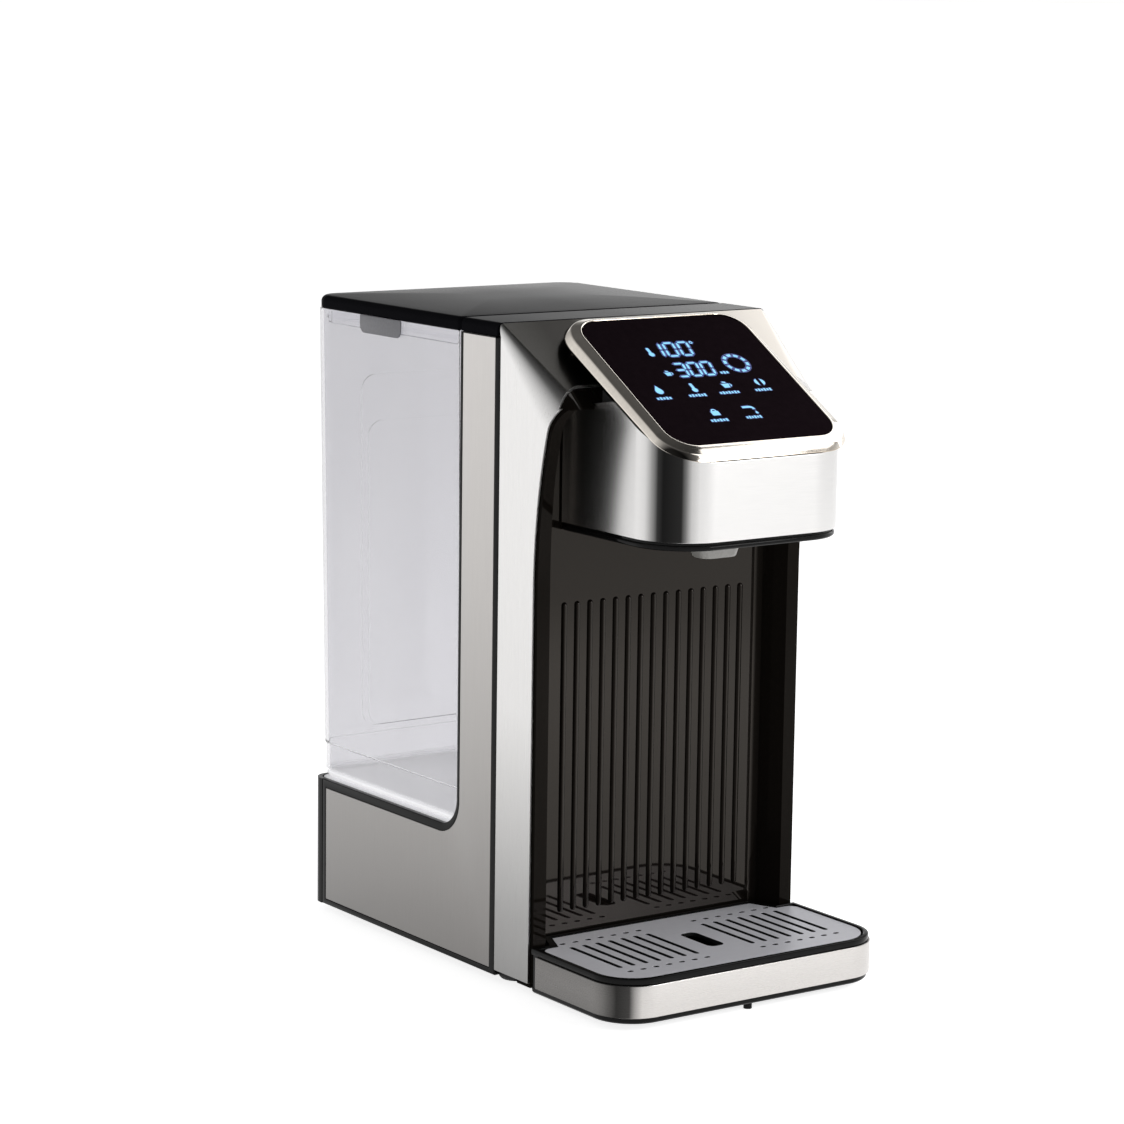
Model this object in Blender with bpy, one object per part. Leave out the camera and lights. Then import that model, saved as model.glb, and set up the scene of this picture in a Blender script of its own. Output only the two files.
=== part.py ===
"""Countertop hot water dispenser: body, head, water path, tank, lid, drip tray and grate.

Metres, +Z up, front towards -Y, resting on z = 0.
"""
import math

import bmesh
import bpy
from mathutils import Matrix, Vector

GAP = 0.0003

# Body
HALF_W = 0.0772
BASE_Z = 0.0045
BODY_TOP = 0.3031
FRAME_REAR = -0.0333
FRAME_T = 0.0012
SLOPE_DEG = 35.5
SLOPE_Y = -0.0305
SLOPE_Z = 0.3092
BEND_R_TOP = 0.0030
BEND_R_ARCH = 0.0135
BEND_LENGTH = 0.052
COLUMN_REAR = -0.0003
SHELF_Z = 0.0686
NOTCH_R = 0.014
PANEL_T = 0.0008
CARRIER_T = 0.0024
PANEL_FRONT = -0.0288
PANEL_COLUMN_REAR = -0.0027
PANEL_REAR = 0.1168
PANEL_BOTTOM = 0.0075
PANEL_SHELF = 0.0641
BODY_REAR = 0.1305
REAR_R = 0.008

# Bay
RIM_Y = -0.0020
BAY_BACK = -0.0490
LINER_REAR = -0.0472
BAY_TOP = 0.2740
RIB_COUNT = 15
RIB_PITCH = 0.0073
RIB_R = 0.0015
RIB_LOW = 0.0348
RIB_HIGH = 0.1815

# Head
TILT_DEG = 30.4
GLASS_TOP_Y = -0.0462
GLASS_TOP_Z = 0.3095
GLASS_L = 0.0933
GLASS_HALF = 0.0464
GLASS_R = 0.0122
GLASS_T = 0.0016
BEZEL_OUT = 0.0073
BEZEL_OUT_FRONT = 0.0088
BEZEL_DEEP = 0.0062
BEZEL_TAPER = 0.0300
BAND_HALF = 0.0540
BAND_FRONT = -0.1325
BAND_R = 0.027
BAND_T = 0.0010
BAND_LOW = 0.2190
HEAD_REAR = -0.0386
SHOULDER_HALF = 0.0419
SHOULDER_Y = -0.0900
SHOULDER_Z = 0.2790
SHOULDER_FALL = 0.175
HEAD_BASE_LOW = 0.2152

# Nozzle
NOZZLE_Y = -0.0945
NOZZLE_LOW = 0.2050

# Tank
TANK_FRONT = 0.0004
TANK_TOP = 0.3031
TANK_HALF_TOP = 0.0766
TANK_HALF_LOW = 0.0741
TANK_REAR_TOP = 0.1333
TANK_REAR_LOW = 0.1306
TANK_WALL = 0.0024
TANK_FLOOR = 0.0688
TANK_R = 0.012
VALVE_Y = 0.038

# Lid
LID_LOW = 0.3034
LID_EDGE = 0.3095
LID_CROWN = 0.3115
LID_REAR = 0.1310
LID_R = 0.012

# Tray
TRAY_HALF = 0.0777
TRAY_FRONT = -0.1333
TRAY_R = 0.021
TRAY_FLOOR = 0.0035
TRAY_LIP = 0.0248
BAND_REAR = -0.0674
GRATE_TOP = 0.0242
GRATE_T = 0.0019

# Water path
PUMP_X = 0.0
PUMP_Z = 0.029
HEATER_X = -0.036
HEATER_Y = -0.0250
HEATER_R = 0.0150


def clear():
    """Removes every object and leftover collection."""
    for obj in list(bpy.data.objects):
        bpy.data.objects.remove(obj, do_unlink=True)
    for group in list(bpy.data.collections):
        bpy.data.collections.remove(group)


clear()
DISPENSER = bpy.data.collections.new("Dispenser")
bpy.context.scene.collection.children.link(DISPENSER)
CUTTERS = bpy.data.collections.new("Cutters")
bpy.context.scene.collection.children.link(CUTTERS)


def material(name, colour, metallic, roughness, alpha=1.0):
    """A Principled material."""
    mat = bpy.data.materials.new(name)
    mat.use_nodes = True
    shader = mat.node_tree.nodes["Principled BSDF"]
    shader.inputs["Base Color"].default_value = (*colour, 1.0)
    shader.inputs["Metallic"].default_value = metallic
    shader.inputs["Roughness"].default_value = roughness
    shader.inputs["Alpha"].default_value = alpha
    return mat


STEEL = material("Brushed steel", (0.62, 0.61, 0.60), 1.0, 0.32)
CHROME = material("Chrome", (0.80, 0.79, 0.77), 1.0, 0.08)
GLOSS = material("Black gloss plastic", (0.012, 0.012, 0.013), 0.0, 0.15)
MATTE = material("Black matte plastic", (0.025, 0.025, 0.026), 0.0, 0.45)
GREY = material("Grey plastic", (0.30, 0.30, 0.31), 0.0, 0.40)
CLEAR = material("Clear tank plastic", (0.80, 0.80, 0.90), 0.0, 0.06, 0.35)
GLASS = material("Black glass", (0.004, 0.004, 0.005), 0.0, 0.03)
RUBBER = material("Rubber", (0.02, 0.02, 0.02), 0.0, 0.70)
SILICONE = material("Silicone", (0.75, 0.75, 0.72), 0.0, 0.50)
BOARD = material("Circuit board", (0.02, 0.12, 0.05), 0.0, 0.45)
BRIGHT = material("Bright steel", (0.70, 0.70, 0.70), 1.0, 0.22)
WHITE = material("White plastic", (0.70, 0.70, 0.70), 0.0, 0.40)


def place(name, mesh, mat, group=DISPENSER):
    """An object for a mesh, in a collection."""
    obj = bpy.data.objects.new(name, mesh)
    group.objects.link(obj)
    mesh.materials.clear()
    if mat:
        mesh.materials.append(mat)
    if group is CUTTERS:
        obj.hide_render = True
        obj.display_type = "WIRE"
    return obj


def finish_mesh(bm, name):
    """A mesh with outward faces from a bmesh, which is freed."""
    bmesh.ops.recalc_face_normals(bm, faces=bm.faces)
    mesh = bpy.data.meshes.new(name)
    bm.to_mesh(mesh)
    bm.free()
    return mesh


def smooth(obj, degrees=35):
    """Smooth shading with sharp edges kept."""
    for polygon in obj.data.polygons:
        polygon.use_smooth = True
    obj.data.set_sharp_from_angle(angle=math.radians(degrees))
    return obj


def box(name, lo, hi, mat, group=DISPENSER):
    """An axis-aligned box."""
    bm = bmesh.new()
    size = [h - l for l, h in zip(lo, hi)]
    middle = [(h + l) / 2 for l, h in zip(lo, hi)]
    shape = Matrix.Translation(middle) @ Matrix.Diagonal((*size, 1.0))
    bmesh.ops.create_cube(bm, size=1.0, matrix=shape)
    return place(name, finish_mesh(bm, name), mat, group)


def add_loft(bm, rings, closed=False):
    """Skins rings of equal length, with end caps unless the rings close on themselves."""
    layers = [[bm.verts.new(p) for p in ring] for ring in rings]
    count = len(rings[0])
    pairs = list(zip(layers, layers[1:]))
    if closed:
        pairs.append((layers[-1], layers[0]))
    for low, high in pairs:
        for i in range(count):
            j = (i + 1) % count
            bm.faces.new((low[i], low[j], high[j], high[i]))
    if not closed:
        bm.faces.new(layers[0])
        bm.faces.new(layers[-1])


def loft(name, rings, mat, group=DISPENSER, closed=False):
    """One closed body skinned over rings."""
    bm = bmesh.new()
    add_loft(bm, rings, closed)
    return place(name, finish_mesh(bm, name), mat, group)


def at_z(outline, z):
    """An XY outline as a ring at height z."""
    return [(x, y, z) for x, y in outline]


def at_x(outline, x):
    """A YZ outline as a ring at x."""
    return [(x, y, z) for y, z in outline]


def prism(name, outline, low, high, mat, group=DISPENSER):
    """An XY outline carried from z = low to z = high."""
    return loft(name, [at_z(outline, low), at_z(outline, high)], mat, group)


def slab(name, outline, low, high, mat, group=DISPENSER):
    """A YZ outline carried from x = low to x = high."""
    return loft(name, [at_x(outline, low), at_x(outline, high)], mat, group)


def prisms(name, outlines, low, high, group=CUTTERS):
    """Several separate prisms in one object."""
    bm = bmesh.new()
    for outline in outlines:
        add_loft(bm, [at_z(outline, low), at_z(outline, high)])
    return place(name, finish_mesh(bm, name), None, group)


def arc(cx, cy, r, start, end, steps):
    """Points on an arc, in degrees, both ends kept."""
    points = []
    for i in range(steps + 1):
        angle = math.radians(start + (end - start) * i / steps)
        points.append((cx + r * math.cos(angle), cy + r * math.sin(angle)))
    return points


def rounded(x0, x1, y0, y1, radii, steps=6):
    """Rounded rectangle, anticlockwise from front left; radii run the same way."""
    fl, fr, rr, rl = radii
    points = arc(x0 + fl, y0 + fl, fl, 180, 270, steps)
    points += arc(x1 - fr, y0 + fr, fr, 270, 360, steps)
    points += arc(x1 - rr, y1 - rr, rr, 0, 90, steps)
    points += arc(x0 + rl, y1 - rl, rl, 90, 180, steps)
    return points


def circle(cx, cy, r, steps=32):
    """A closed circle outline."""
    return arc(cx, cy, r, 0, 360, steps)[:-1]


def lathe(name, profile, centre, mat, steps=40, group=DISPENSER):
    """A closed (radius, z) profile turned about the vertical through centre."""
    cx, cy = centre
    rings = []
    for k in range(steps):
        angle = 2 * math.pi * k / steps
        c = math.cos(angle)
        s = math.sin(angle)
        rings.append([(cx + r * c, cy + r * s, z) for r, z in profile])
    return smooth(loft(name, rings, mat, group, closed=True))


def turned(name, profile, centre, mat, steps=40, group=DISPENSER):
    """A solid of circles, (radius, z) from bottom to top, capped at both ends."""
    cx, cy = centre
    rings = [at_z(circle(cx, cy, r, steps), z) for r, z in profile]
    return smooth(loft(name, rings, mat, group))


def lay_along_y(obj, y, x, z):
    """Turns a piece made about +Z to point along +Y and moves it to (x, y, z)."""
    turn = Matrix.Rotation(math.radians(-90), 4, "X")
    obj.data.transform(Matrix.Translation((x, y, z)) @ turn)
    return obj


def combine(target, other, operation):
    """Exact Boolean, applied; the other object is removed."""
    bpy.context.view_layer.update()
    mod = target.modifiers.new("Combine", "BOOLEAN")
    mod.operation = operation
    mod.solver = "EXACT"
    mod.object = other
    graph = bpy.context.evaluated_depsgraph_get()
    mesh = bpy.data.meshes.new_from_object(target.evaluated_get(graph))
    target.modifiers.clear()
    old = target.data
    materials = [m for m in old.materials]
    target.data = mesh
    mesh.materials.clear()
    for mat in materials:
        mesh.materials.append(mat)
    for polygon in mesh.polygons:
        polygon.material_index = 0
    bpy.data.objects.remove(other, do_unlink=True)
    return target


def cut(target, other):
    """Takes other away from target."""
    return combine(target, other, "DIFFERENCE")


def join(target, other):
    """Adds other to target."""
    return combine(target, other, "UNION")


def keep(target, other):
    """Keeps what target and other share."""
    return combine(target, other, "INTERSECT")


def tube(name, points, radius, mat):
    """A closed round bar along a smooth path through the points."""
    curve = bpy.data.curves.new(name, "CURVE")
    curve.dimensions = "3D"
    curve.bevel_depth = radius
    curve.bevel_resolution = 2
    curve.use_fill_caps = True
    spline = curve.splines.new("POLY")
    path = rounded_path(points)
    spline.points.add(len(path) - 1)
    for slot, p in zip(spline.points, path):
        slot.co = (*p, 1.0)
    holder = bpy.data.objects.new(name + "_path", curve)
    CUTTERS.objects.link(holder)
    bpy.context.view_layer.update()
    graph = bpy.context.evaluated_depsgraph_get()
    mesh = bpy.data.meshes.new_from_object(holder.evaluated_get(graph))
    bpy.data.objects.remove(holder, do_unlink=True)
    bm = bmesh.new()
    bm.from_mesh(mesh)
    bmesh.ops.remove_doubles(bm, verts=bm.verts, dist=0.00005)
    return smooth(place(name, finish_mesh(bm, name), mat), 50)


def rounded_path(points, radius=0.009, steps=6):
    """A path whose inner corners are rounded."""
    path = [Vector(points[0])]
    for before, corner, after in zip(points, points[1:], points[2:]):
        b, c, a = Vector(before), Vector(corner), Vector(after)
        reach = min(radius, (c - b).length * 0.49, (a - c).length * 0.49)
        start = c + (b - c).normalized() * reach
        end = c + (a - c).normalized() * reach
        for i in range(steps + 1):
            t = i / steps
            path.append(start.lerp(c, t).lerp(c.lerp(end, t), t))
    path.append(Vector(points[-1]))
    return path


# ---- Side profile of the steel front frame ----

def slope_z(y, lift=0.0):
    """Height of the sloping top at y, raised square to the slope by lift."""
    angle = math.radians(SLOPE_DEG)
    return SLOPE_Z + (y - SLOPE_Y) * math.tan(angle) + lift / math.cos(angle)


def front_curve(shift=0.0):
    """Points (y, z) up the frame's front edge, which leans forward towards the top."""
    points = [(-0.0607, 0.0073), (-0.0607, 0.190), (-0.0611, 0.202), (-0.0621, 0.2137)]
    points += [(-0.0635, 0.230), (-0.0659, 0.2466), (-0.0706, 0.268), (-0.0732, 0.274)]
    return [(y + shift, z) for y, z in points]


def frame_block(name, inset, shift, low, group=DISPENSER):
    """The solid inside the arch, with its top side edges rounded."""
    half = HALF_W - inset
    nose_y = -0.0752 + shift
    outline = [(FRAME_REAR if inset == 0 else LINER_REAR, low)]
    outline += [(y, max(z, low)) for y, z in front_curve(shift)]
    outline.append((nose_y, slope_z(nose_y, -inset)))
    top = SLOPE_Y if inset == 0 else LINER_REAR
    outline.append((top, slope_z(top, -inset)))
    if inset == 0:
        outline.append((FRAME_REAR, slope_z(SLOPE_Y) - 0.0062))
    block = slab(name, outline, -half - 0.01, half + 0.01, None, group)
    return keep(block, slope_bar(inset))


def slope_bar(inset):
    """A long bar under the slope; its top edges round more and more towards the arch."""
    c = math.cos(math.radians(SLOPE_DEG))
    s = math.sin(math.radians(SLOPE_DEG))
    half = HALF_W - inset
    steps = [(-0.6, BEND_R_ARCH), (-BEND_LENGTH, BEND_R_ARCH), (0.0, BEND_R_TOP), (0.4, BEND_R_TOP)]
    rings = []
    for along, radius in steps:
        r = radius - inset
        section = [(-half, -0.5), (half, -0.5)] + arc(half - r, -inset - r, r, 0, 90, 6)
        section += arc(-half + r, -inset - r, r, 90, 180, 6)
        y0 = SLOPE_Y + along * c
        z0 = SLOPE_Z + along * s
        rings.append([(x, y0 - n * s, z0 + n * c) for x, n in section])
    return loft("c", rings, None, CUTTERS)


# ---- Plane of the touch glass ----

def tilt(x, down, out):
    """Point on the glass plane: x across, down from its top edge, out along its normal."""
    c = math.cos(math.radians(TILT_DEG))
    s = math.sin(math.radians(TILT_DEG))
    return (x, GLASS_TOP_Y - down * c - out * s, GLASS_TOP_Z - down * s + out * c)


def tilt_ring(outward, front, depth, taper=0.0, steps=8):
    """The glass outline grown by outward (front at its lower edge), at a depth."""
    r = GLASS_R + outward * 0.98
    half = GLASS_HALF + outward
    outline = rounded(-half, half, -outward, GLASS_L + front, (r, r, r, r), steps)
    return [tilt(x, down, taper * down - depth) for x, down in outline]


def tilt_plate(name, half, top, bottom, radius, upper, lower, mat):
    """A plate parallel to the glass between two depths."""
    outline = rounded(-half, half, top, bottom, (radius,) * 4, 8)
    rings = [[tilt(x, s, -d) for x, s in outline] for d in (upper, lower)]
    return loft(name, rings, mat)


def head_side(name, low, depth, rear, lift, taper=0.0):
    """The head's side profile, under a plane below the glass that nears it forwards."""
    top = []
    for y in (rear, -0.140):
        down = (GLASS_TOP_Y - y) / math.cos(math.radians(TILT_DEG))
        drop = math.tan(math.radians(TILT_DEG)) * (GLASS_TOP_Y - y)
        under = depth - taper * down
        top.append((y, GLASS_TOP_Z - drop - under / math.cos(math.radians(TILT_DEG))))
    step_y = BAY_BACK - 0.0009
    outline = [(-0.140, low), (step_y, low), (step_y, slope_z(step_y, lift))]
    outline += [(rear, slope_z(rear, lift)), top[0], top[1]]
    return slab(name, outline, -0.08, 0.08, None, CUTTERS)


def above_shoulder(front, gap, low_x=None):
    """What stands above the head's shoulder, behind a plane, for one or both sides."""
    profile = [(front, 0.340), (front, shoulder_z(front) + gap)]
    profile += [(-0.030, shoulder_z(-0.030) + gap), (-0.030, 0.340)]
    if low_x is None:
        return slab("c", profile, -0.08, 0.08, None, CUTTERS)
    right = slab("c", profile, low_x, 0.08, None, CUTTERS)
    return join(right, slab("c", profile, -0.08, -low_x, None, CUTTERS))


def shoulder_z(y):
    """Height of the head's side walls where they run under the arch."""
    return SHOULDER_Z + SHOULDER_FALL * (SHOULDER_Y - y)


def head_outline(inset, rear, steps=10):
    """Plan outline of the head, inset from the band's outside."""
    half = BAND_HALF - inset
    r = BAND_R - inset
    return rounded(-half, half, BAND_FRONT + inset, rear, (r, r, 0.0004, 0.0004), steps)


def band_outline(inset, thick, rear, steps=10):
    """Open U strip in plan: outside then back along the inside."""
    half = BAND_HALF - inset
    r = BAND_R - inset
    front = BAND_FRONT + inset
    outer = [(-half, rear)] + arc(-half + r, front + r, r, 180, 270, steps)
    outer += arc(half - r, front + r, r, 270, 360, steps) + [(half, rear)]
    q = r - thick
    inner = [(half - thick, rear)] + arc(half - r, front + r, q, 360, 270, steps)
    inner += arc(-half + r, front + r, q, 270, 180, steps) + [(-half + thick, rear)]
    return outer + inner


# ---- Body pieces ----

def base_pan():
    """Floor of the body with a low rim."""
    plan = rounded(-0.0744, 0.0744, -0.0468, 0.1276, (0.001, 0.001, 0.006, 0.006))
    pan = prism("base_pan", plan, BASE_Z, 0.0160, MATTE)
    inside = rounded(-0.0722, 0.0722, -0.0446, 0.1254, (0.001, 0.001, 0.004, 0.004))
    cut(pan, prism("c", inside, 0.0070, 0.0300, None, CUTTERS))
    holes = [circle(x, y, 0.0019, 16) for x, y in FEET]
    return cut(pan, prisms("c", holes, 0.0, 0.012))


FEET = [(-0.060, -0.028), (0.060, -0.028), (-0.060, 0.110), (0.060, 0.110)]
FEET_NAMES = ["front_left", "front_right", "rear_left", "rear_right"]


def feet():
    """Rubber feet, each held by a screw through its middle."""
    for (x, y), where in zip(FEET, FEET_NAMES):
        profile = [(0.0019, 0.0018), (0.0042, 0.0018), (0.0042, 0.0), (0.0080, 0.0)]
        profile += [(0.0088, 0.0008), (0.0088, 0.0042), (0.0019, 0.0042)]
        lathe("foot_" + where, profile, (x, y), RUBBER, 28)
        shank = [(0.0028, 0.0004), (0.0034, 0.0008), (0.0034, 0.0015), (0.00151, 0.0015)]
        shank += [(0.0015, 0.0092), (0.0012, 0.0098)]
        turned("foot_screw_" + where, shank, (x, y), BRIGHT, 16)


def carrier_outline(grow=0.0):
    """L outline (y, z) of the black side carrier; grow makes it larger all round."""
    column = COLUMN_REAR + grow
    shelf = SHELF_Z - GAP + grow
    front = FRAME_REAR + GAP - grow
    points = [(front, BASE_Z - grow), (0.1202 + grow, BASE_Z - grow), (0.1202 + grow, shelf)]
    r = NOTCH_R - grow
    corner = arc(column + r, shelf + r, r, 270, 180, 8)
    points += corner
    points += [(column, BODY_TOP), (front, BODY_TOP)]
    return points


def panel_outline(grow=0.0, top=BODY_TOP):
    """L outline (y, z) of the steel side panel."""
    column = PANEL_COLUMN_REAR + grow
    shelf = PANEL_SHELF + grow
    front = PANEL_FRONT - grow
    r = NOTCH_R + 0.0034 - grow
    points = [(front, PANEL_BOTTOM - grow), (PANEL_REAR + grow, PANEL_BOTTOM - grow)]
    points += [(PANEL_REAR + grow, shelf)]
    points += arc(column + r, shelf + r, r, 270, 180, 8)
    points += [(column, top), (front, top)]
    return points


def side(where, sign):
    """Black carrier with a flush steel panel let into it."""
    inner = sign * (HALF_W - CARRIER_T)
    outer = sign * HALF_W
    carrier = slab("side_carrier_" + where, carrier_outline(), inner, outer, GLOSS)
    floor = sign * (HALF_W - PANEL_T - GAP)
    recess = slab("c", panel_outline(GAP, 0.32), floor, outer + sign * 0.003, None, CUTTERS)
    cut(carrier, recess)
    slab("side_panel_" + where, panel_outline(), outer - sign * PANEL_T, outer, STEEL)


def rear_cover():
    """Wrap-round rear cover of the base with air slots."""
    r = REAR_R
    y0 = 0.1205
    t = 0.0024
    half = HALF_W
    outer = [(half, y0)] + arc(half - r, BODY_REAR - r, r, 0, 90, 6)
    outer += arc(-half + r, BODY_REAR - r, r, 90, 180, 6) + [(-half, y0)]
    q = r - t
    inner = [(-half + t, y0)] + arc(-half + r, BODY_REAR - r, q, 180, 90, 6)
    inner += arc(half - r, BODY_REAR - r, q, 90, 0, 6) + [(half - t, y0)]
    cover = prism("rear_cover", outer + inner, BASE_Z, SHELF_Z - GAP, MATTE)
    slots = []
    for i in range(9):
        x = -0.040 + i * 0.0075
        slots.append(rounded(x - 0.0013, x + 0.0013, 0.1250, 0.1330, (0.0004,) * 4, 1))
    cut(cover, prisms("c", slots, 0.030, 0.052))
    hole = turned("c", [(0.0063, -0.01), (0.0063, 0.02)], (0, 0), None, 28, CUTTERS)
    cut(cover, lay_along_y(hole, 0.1250, 0.050, 0.026))
    ring = [(0.0038, -0.0070), (0.0058, -0.0070), (0.0058, 0.0008), (0.0085, 0.0008)]
    ring += [(0.0085, 0.0018), (0.0072, 0.0026), (0.0038, 0.0026)]
    gland = lathe("power_gland", ring, (0, 0), MATTE, 28)
    lay_along_y(gland, BODY_REAR - 0.0004, 0.050, 0.026)


def front_frame():
    """Steel arch: a bent sheet open at the front, back and bottom."""
    frame = frame_block("front_frame", 0.0, 0.0, 0.0073)
    frame.data.materials.append(STEEL)
    cut(frame, slope_bar(FRAME_T))
    inner = SHOULDER_HALF + 0.0006
    notch = box("c", (-inner, -0.090, 0.240), (inner, -0.0497, 0.320), None, CUTTERS)
    cut(frame, notch)
    bite = [(-0.0756, -0.090), (-0.0752, -0.0745), (-0.0700, -0.0712), (-0.0650, -0.0686)]
    bite += [(-0.0600, -0.0668), (-0.0540, -0.0663), (0.0540, -0.0663), (0.0600, -0.0668)]
    bite += [(0.0650, -0.0686), (0.0700, -0.0712), (0.0752, -0.0745), (0.0756, -0.090)]
    cut(frame, prism("c", bite, 0.2745, 0.330, None, CUTTERS))
    return smooth(frame, 25)


def bay_liner():
    """Bay behind the tray: rim, slanting sides, ceiling and ribbed back wall."""
    inset = FRAME_T + GAP
    liner = frame_block("bay_liner", inset, RIM_Y, 0.0073)
    liner.data.materials.append(GLOSS)
    cut(liner, bay_cutter())
    inner = BAND_HALF + 0.0006
    notch = box("c", (-inner, -0.090, 0.210), (inner, BAY_BACK, 0.320), None, CUTTERS)
    cut(liner, cut(notch, above_shoulder(-0.095, 0.0006, SHOULDER_HALF + 0.0006)))
    for x in (-1, 1):
        low, high = sorted((x * 0.0692, x * 0.0750))
        join(liner, box("c", (low, -0.0598, 0.0046), (high, -0.0490, 0.0078), None, CUTTERS))
        pocket = [(x * 0.0738, -0.0450), (x * 0.0738, -0.0585), (x * 0.0712, -0.0585)]
        pocket += [(x * 0.0655, -0.0450)]
        cut(liner, prism("c", pocket, -0.010, 0.262, None, CUTTERS))
    offsets = [(i - RIB_COUNT // 2) * RIB_PITCH for i in range(RIB_COUNT)]
    ribs = [circle(x, BAY_BACK + 0.0002, RIB_R, 12) for x in offsets]
    join(liner, prisms("ribs", ribs, RIB_LOW, RIB_HIGH))
    hole = turned("c", [(0.0048, -0.01), (0.0048, 0.02)], (0, 0), None, 20, CUTTERS)
    cut(liner, lay_along_y(hole, -0.0500, 0.0, 0.2560))
    return smooth(liner, 25)


def bay_cutter():
    """The bay's hollow, wide at the front and narrow at the back."""
    front_y = -0.0850
    lip_y = -0.0640
    back = BAY_BACK
    side_r = 0.004
    plan = [(-0.0688, front_y), (-0.0688, lip_y), (-0.0634, back - side_r), (-0.0622, back - 0.0012)]
    plan += [(-0.0595, back)]
    plan = plan + [(-x, y) for x, y in reversed(plan)]
    rings = []
    for z, shrink in ((-0.02, 0.0), (BAY_TOP - 0.009, 0.0), (BAY_TOP - 0.0028, 0.0022), (BAY_TOP, 0.0080)):
        rings.append(at_z([(x * (1 - shrink / 0.066), y) for x, y in plan], z))
    return loft("c", rings, None, CUTTERS)


def top_cover():
    """Black cover between the slope and the lid."""
    outline = rounded(-HALF_W, HALF_W, -0.0302, -0.0008, (0.0006,) * 4, 1)
    cover = prism("top_cover", outline, LID_LOW, LID_EDGE, GLOSS)
    bm = bmesh.new()
    bm.from_mesh(cover.data)
    top = [e for e in bm.edges if all(v.co.z > LID_EDGE - 1e-6 for v in e.verts)]
    bmesh.ops.bevel(bm, geom=top, offset=0.0012, segments=3, profile=0.5, affect="EDGES")
    bm.to_mesh(cover.data)
    bm.free()
    return smooth(cover)


def partition_wall():
    """Wall between the works and the tank."""
    lo = (-0.0744, -0.0026, 0.0689)
    return box("partition_wall", lo, (0.0744, -0.0004, BODY_TOP - GAP), MATTE)


def tank_shelf():
    """Shelf under the tank with the hole for its socket."""
    plan = rounded(-0.0744, 0.0744, -0.0030, 0.1276, (0.001, 0.001, 0.006, 0.006))
    shelf = prism("tank_shelf", plan, 0.0650, SHELF_Z - GAP, MATTE)
    return cut(shelf, prisms("c", [circle(0, VALVE_Y, 0.0150, 40)], 0.05, 0.09))


def tank_socket():
    """Cup that takes the tank's valve, with the post that opens it and an outlet below."""
    profile = [(0.0008, 0.0490), (0.0146, 0.0490), (0.0146, 0.0682), (0.0128, 0.0682)]
    profile += [(0.0128, 0.0510), (0.0022, 0.0510), (0.0022, 0.0562), (0.0008, 0.0562)]
    socket = lathe("tank_socket", profile, (0, VALVE_Y), WHITE)
    plug = turned("c", [(0.0015, 0.0492), (0.0015, 0.0560)], (0, VALVE_Y), None, 12, CUTTERS)
    join(socket, plug)
    spout = turned("c", [(0.0024, 0.0450), (0.0024, 0.0495)], (0.0080, VALVE_Y), None, 20, CUTTERS)
    join(socket, spout)
    bore = turned("c", [(0.0013, 0.0400), (0.0013, 0.0530)], (0.0080, VALVE_Y), None, 16, CUTTERS)
    return smooth(cut(socket, bore))


# ---- Head pieces ----

def head():
    """Band, core and bottom plate of the projecting head."""
    band = prism("head_band", band_outline(0, BAND_T, HEAD_REAR), BAND_LOW, 0.330, STEEL)
    keep(band, head_side("c", BAND_LOW - 0.01, BEZEL_DEEP + GAP, HEAD_REAR, GAP, BEZEL_TAPER))
    cut(band, above_shoulder(SHOULDER_Y - 0.0020, 0.0))
    smooth(band, 25)
    core = prism("head_core", head_outline(BAND_T + GAP, HEAD_REAR), BAND_LOW, 0.330, MATTE)
    keep(core, head_side("c", BAND_LOW - 0.01, BEZEL_DEEP + 0.0006, HEAD_REAR - 0.0002, GAP))
    cut(core, above_shoulder(-0.0785, 0.0, SHOULDER_HALF))
    hollow = prism("c", head_outline(0.0040, -0.0525), 0.20, 0.330, None, CUTTERS)
    keep(hollow, head_side("c", 0.20, 0.0090, -0.0525, -0.002))
    cut(core, hollow)
    hole = turned("c", [(0.0048, -0.01), (0.0048, 0.02)], (0, 0), None, 20, CUTTERS)
    cut(core, lay_along_y(hole, -0.0550, 0.0, 0.2560))
    smooth(core, 25)
    base_outline = head_outline(0.0005, BAY_BACK - 0.0009)
    lower = head_outline(0.0014, BAY_BACK - 0.0012)
    rings = [at_z(lower, HEAD_BASE_LOW), at_z(base_outline, HEAD_BASE_LOW + 0.0009)]
    rings.append(at_z(base_outline, BAND_LOW - 0.0007))
    rings.append(at_z(head_outline(0.0014, BAY_BACK - 0.0012), BAND_LOW - 0.0004))
    base = loft("head_base", rings, GLOSS)
    hole = rounded(-0.0108, 0.0108, NOZZLE_Y - 0.0058, NOZZLE_Y + 0.0058, (0.004,) * 4, 5)
    cut(base, prisms("c", [hole], 0.20, 0.24))
    smooth(base, 25)


def bezel():
    """Chrome frame round the glass."""
    rings = [tilt_ring(0.0003, 0.0003, 0.0), tilt_ring(0.0009, 0.0009, -0.0003)]
    rings.append(tilt_ring(0.0045, 0.0052, BEZEL_DEEP * 0.45, BEZEL_TAPER * 0.45))
    rings.append(tilt_ring(BEZEL_OUT, BEZEL_OUT_FRONT, BEZEL_DEEP, BEZEL_TAPER))
    rings.append(tilt_ring(0.0003, 0.0003, BEZEL_DEEP, BEZEL_TAPER))
    return smooth(loft("bezel", rings, CHROME, closed=True), 12)


def glass_stack():
    """Touch glass, light guide and board, from the outside in."""
    rings = [tilt_ring(0.0, 0.0, GLASS_T), tilt_ring(0.0, 0.0, 0.0002), tilt_ring(-0.0002, -0.0002, 0.0)]
    smooth(loft("glass_panel", rings, GLASS), 30)
    tilt_plate("display_module", 0.040, 0.008, 0.085, 0.003, 0.0019, 0.0034, WHITE)
    tilt_plate("display_board", 0.042, 0.006, 0.087, 0.002, 0.0037, 0.0053, BOARD)


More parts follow.
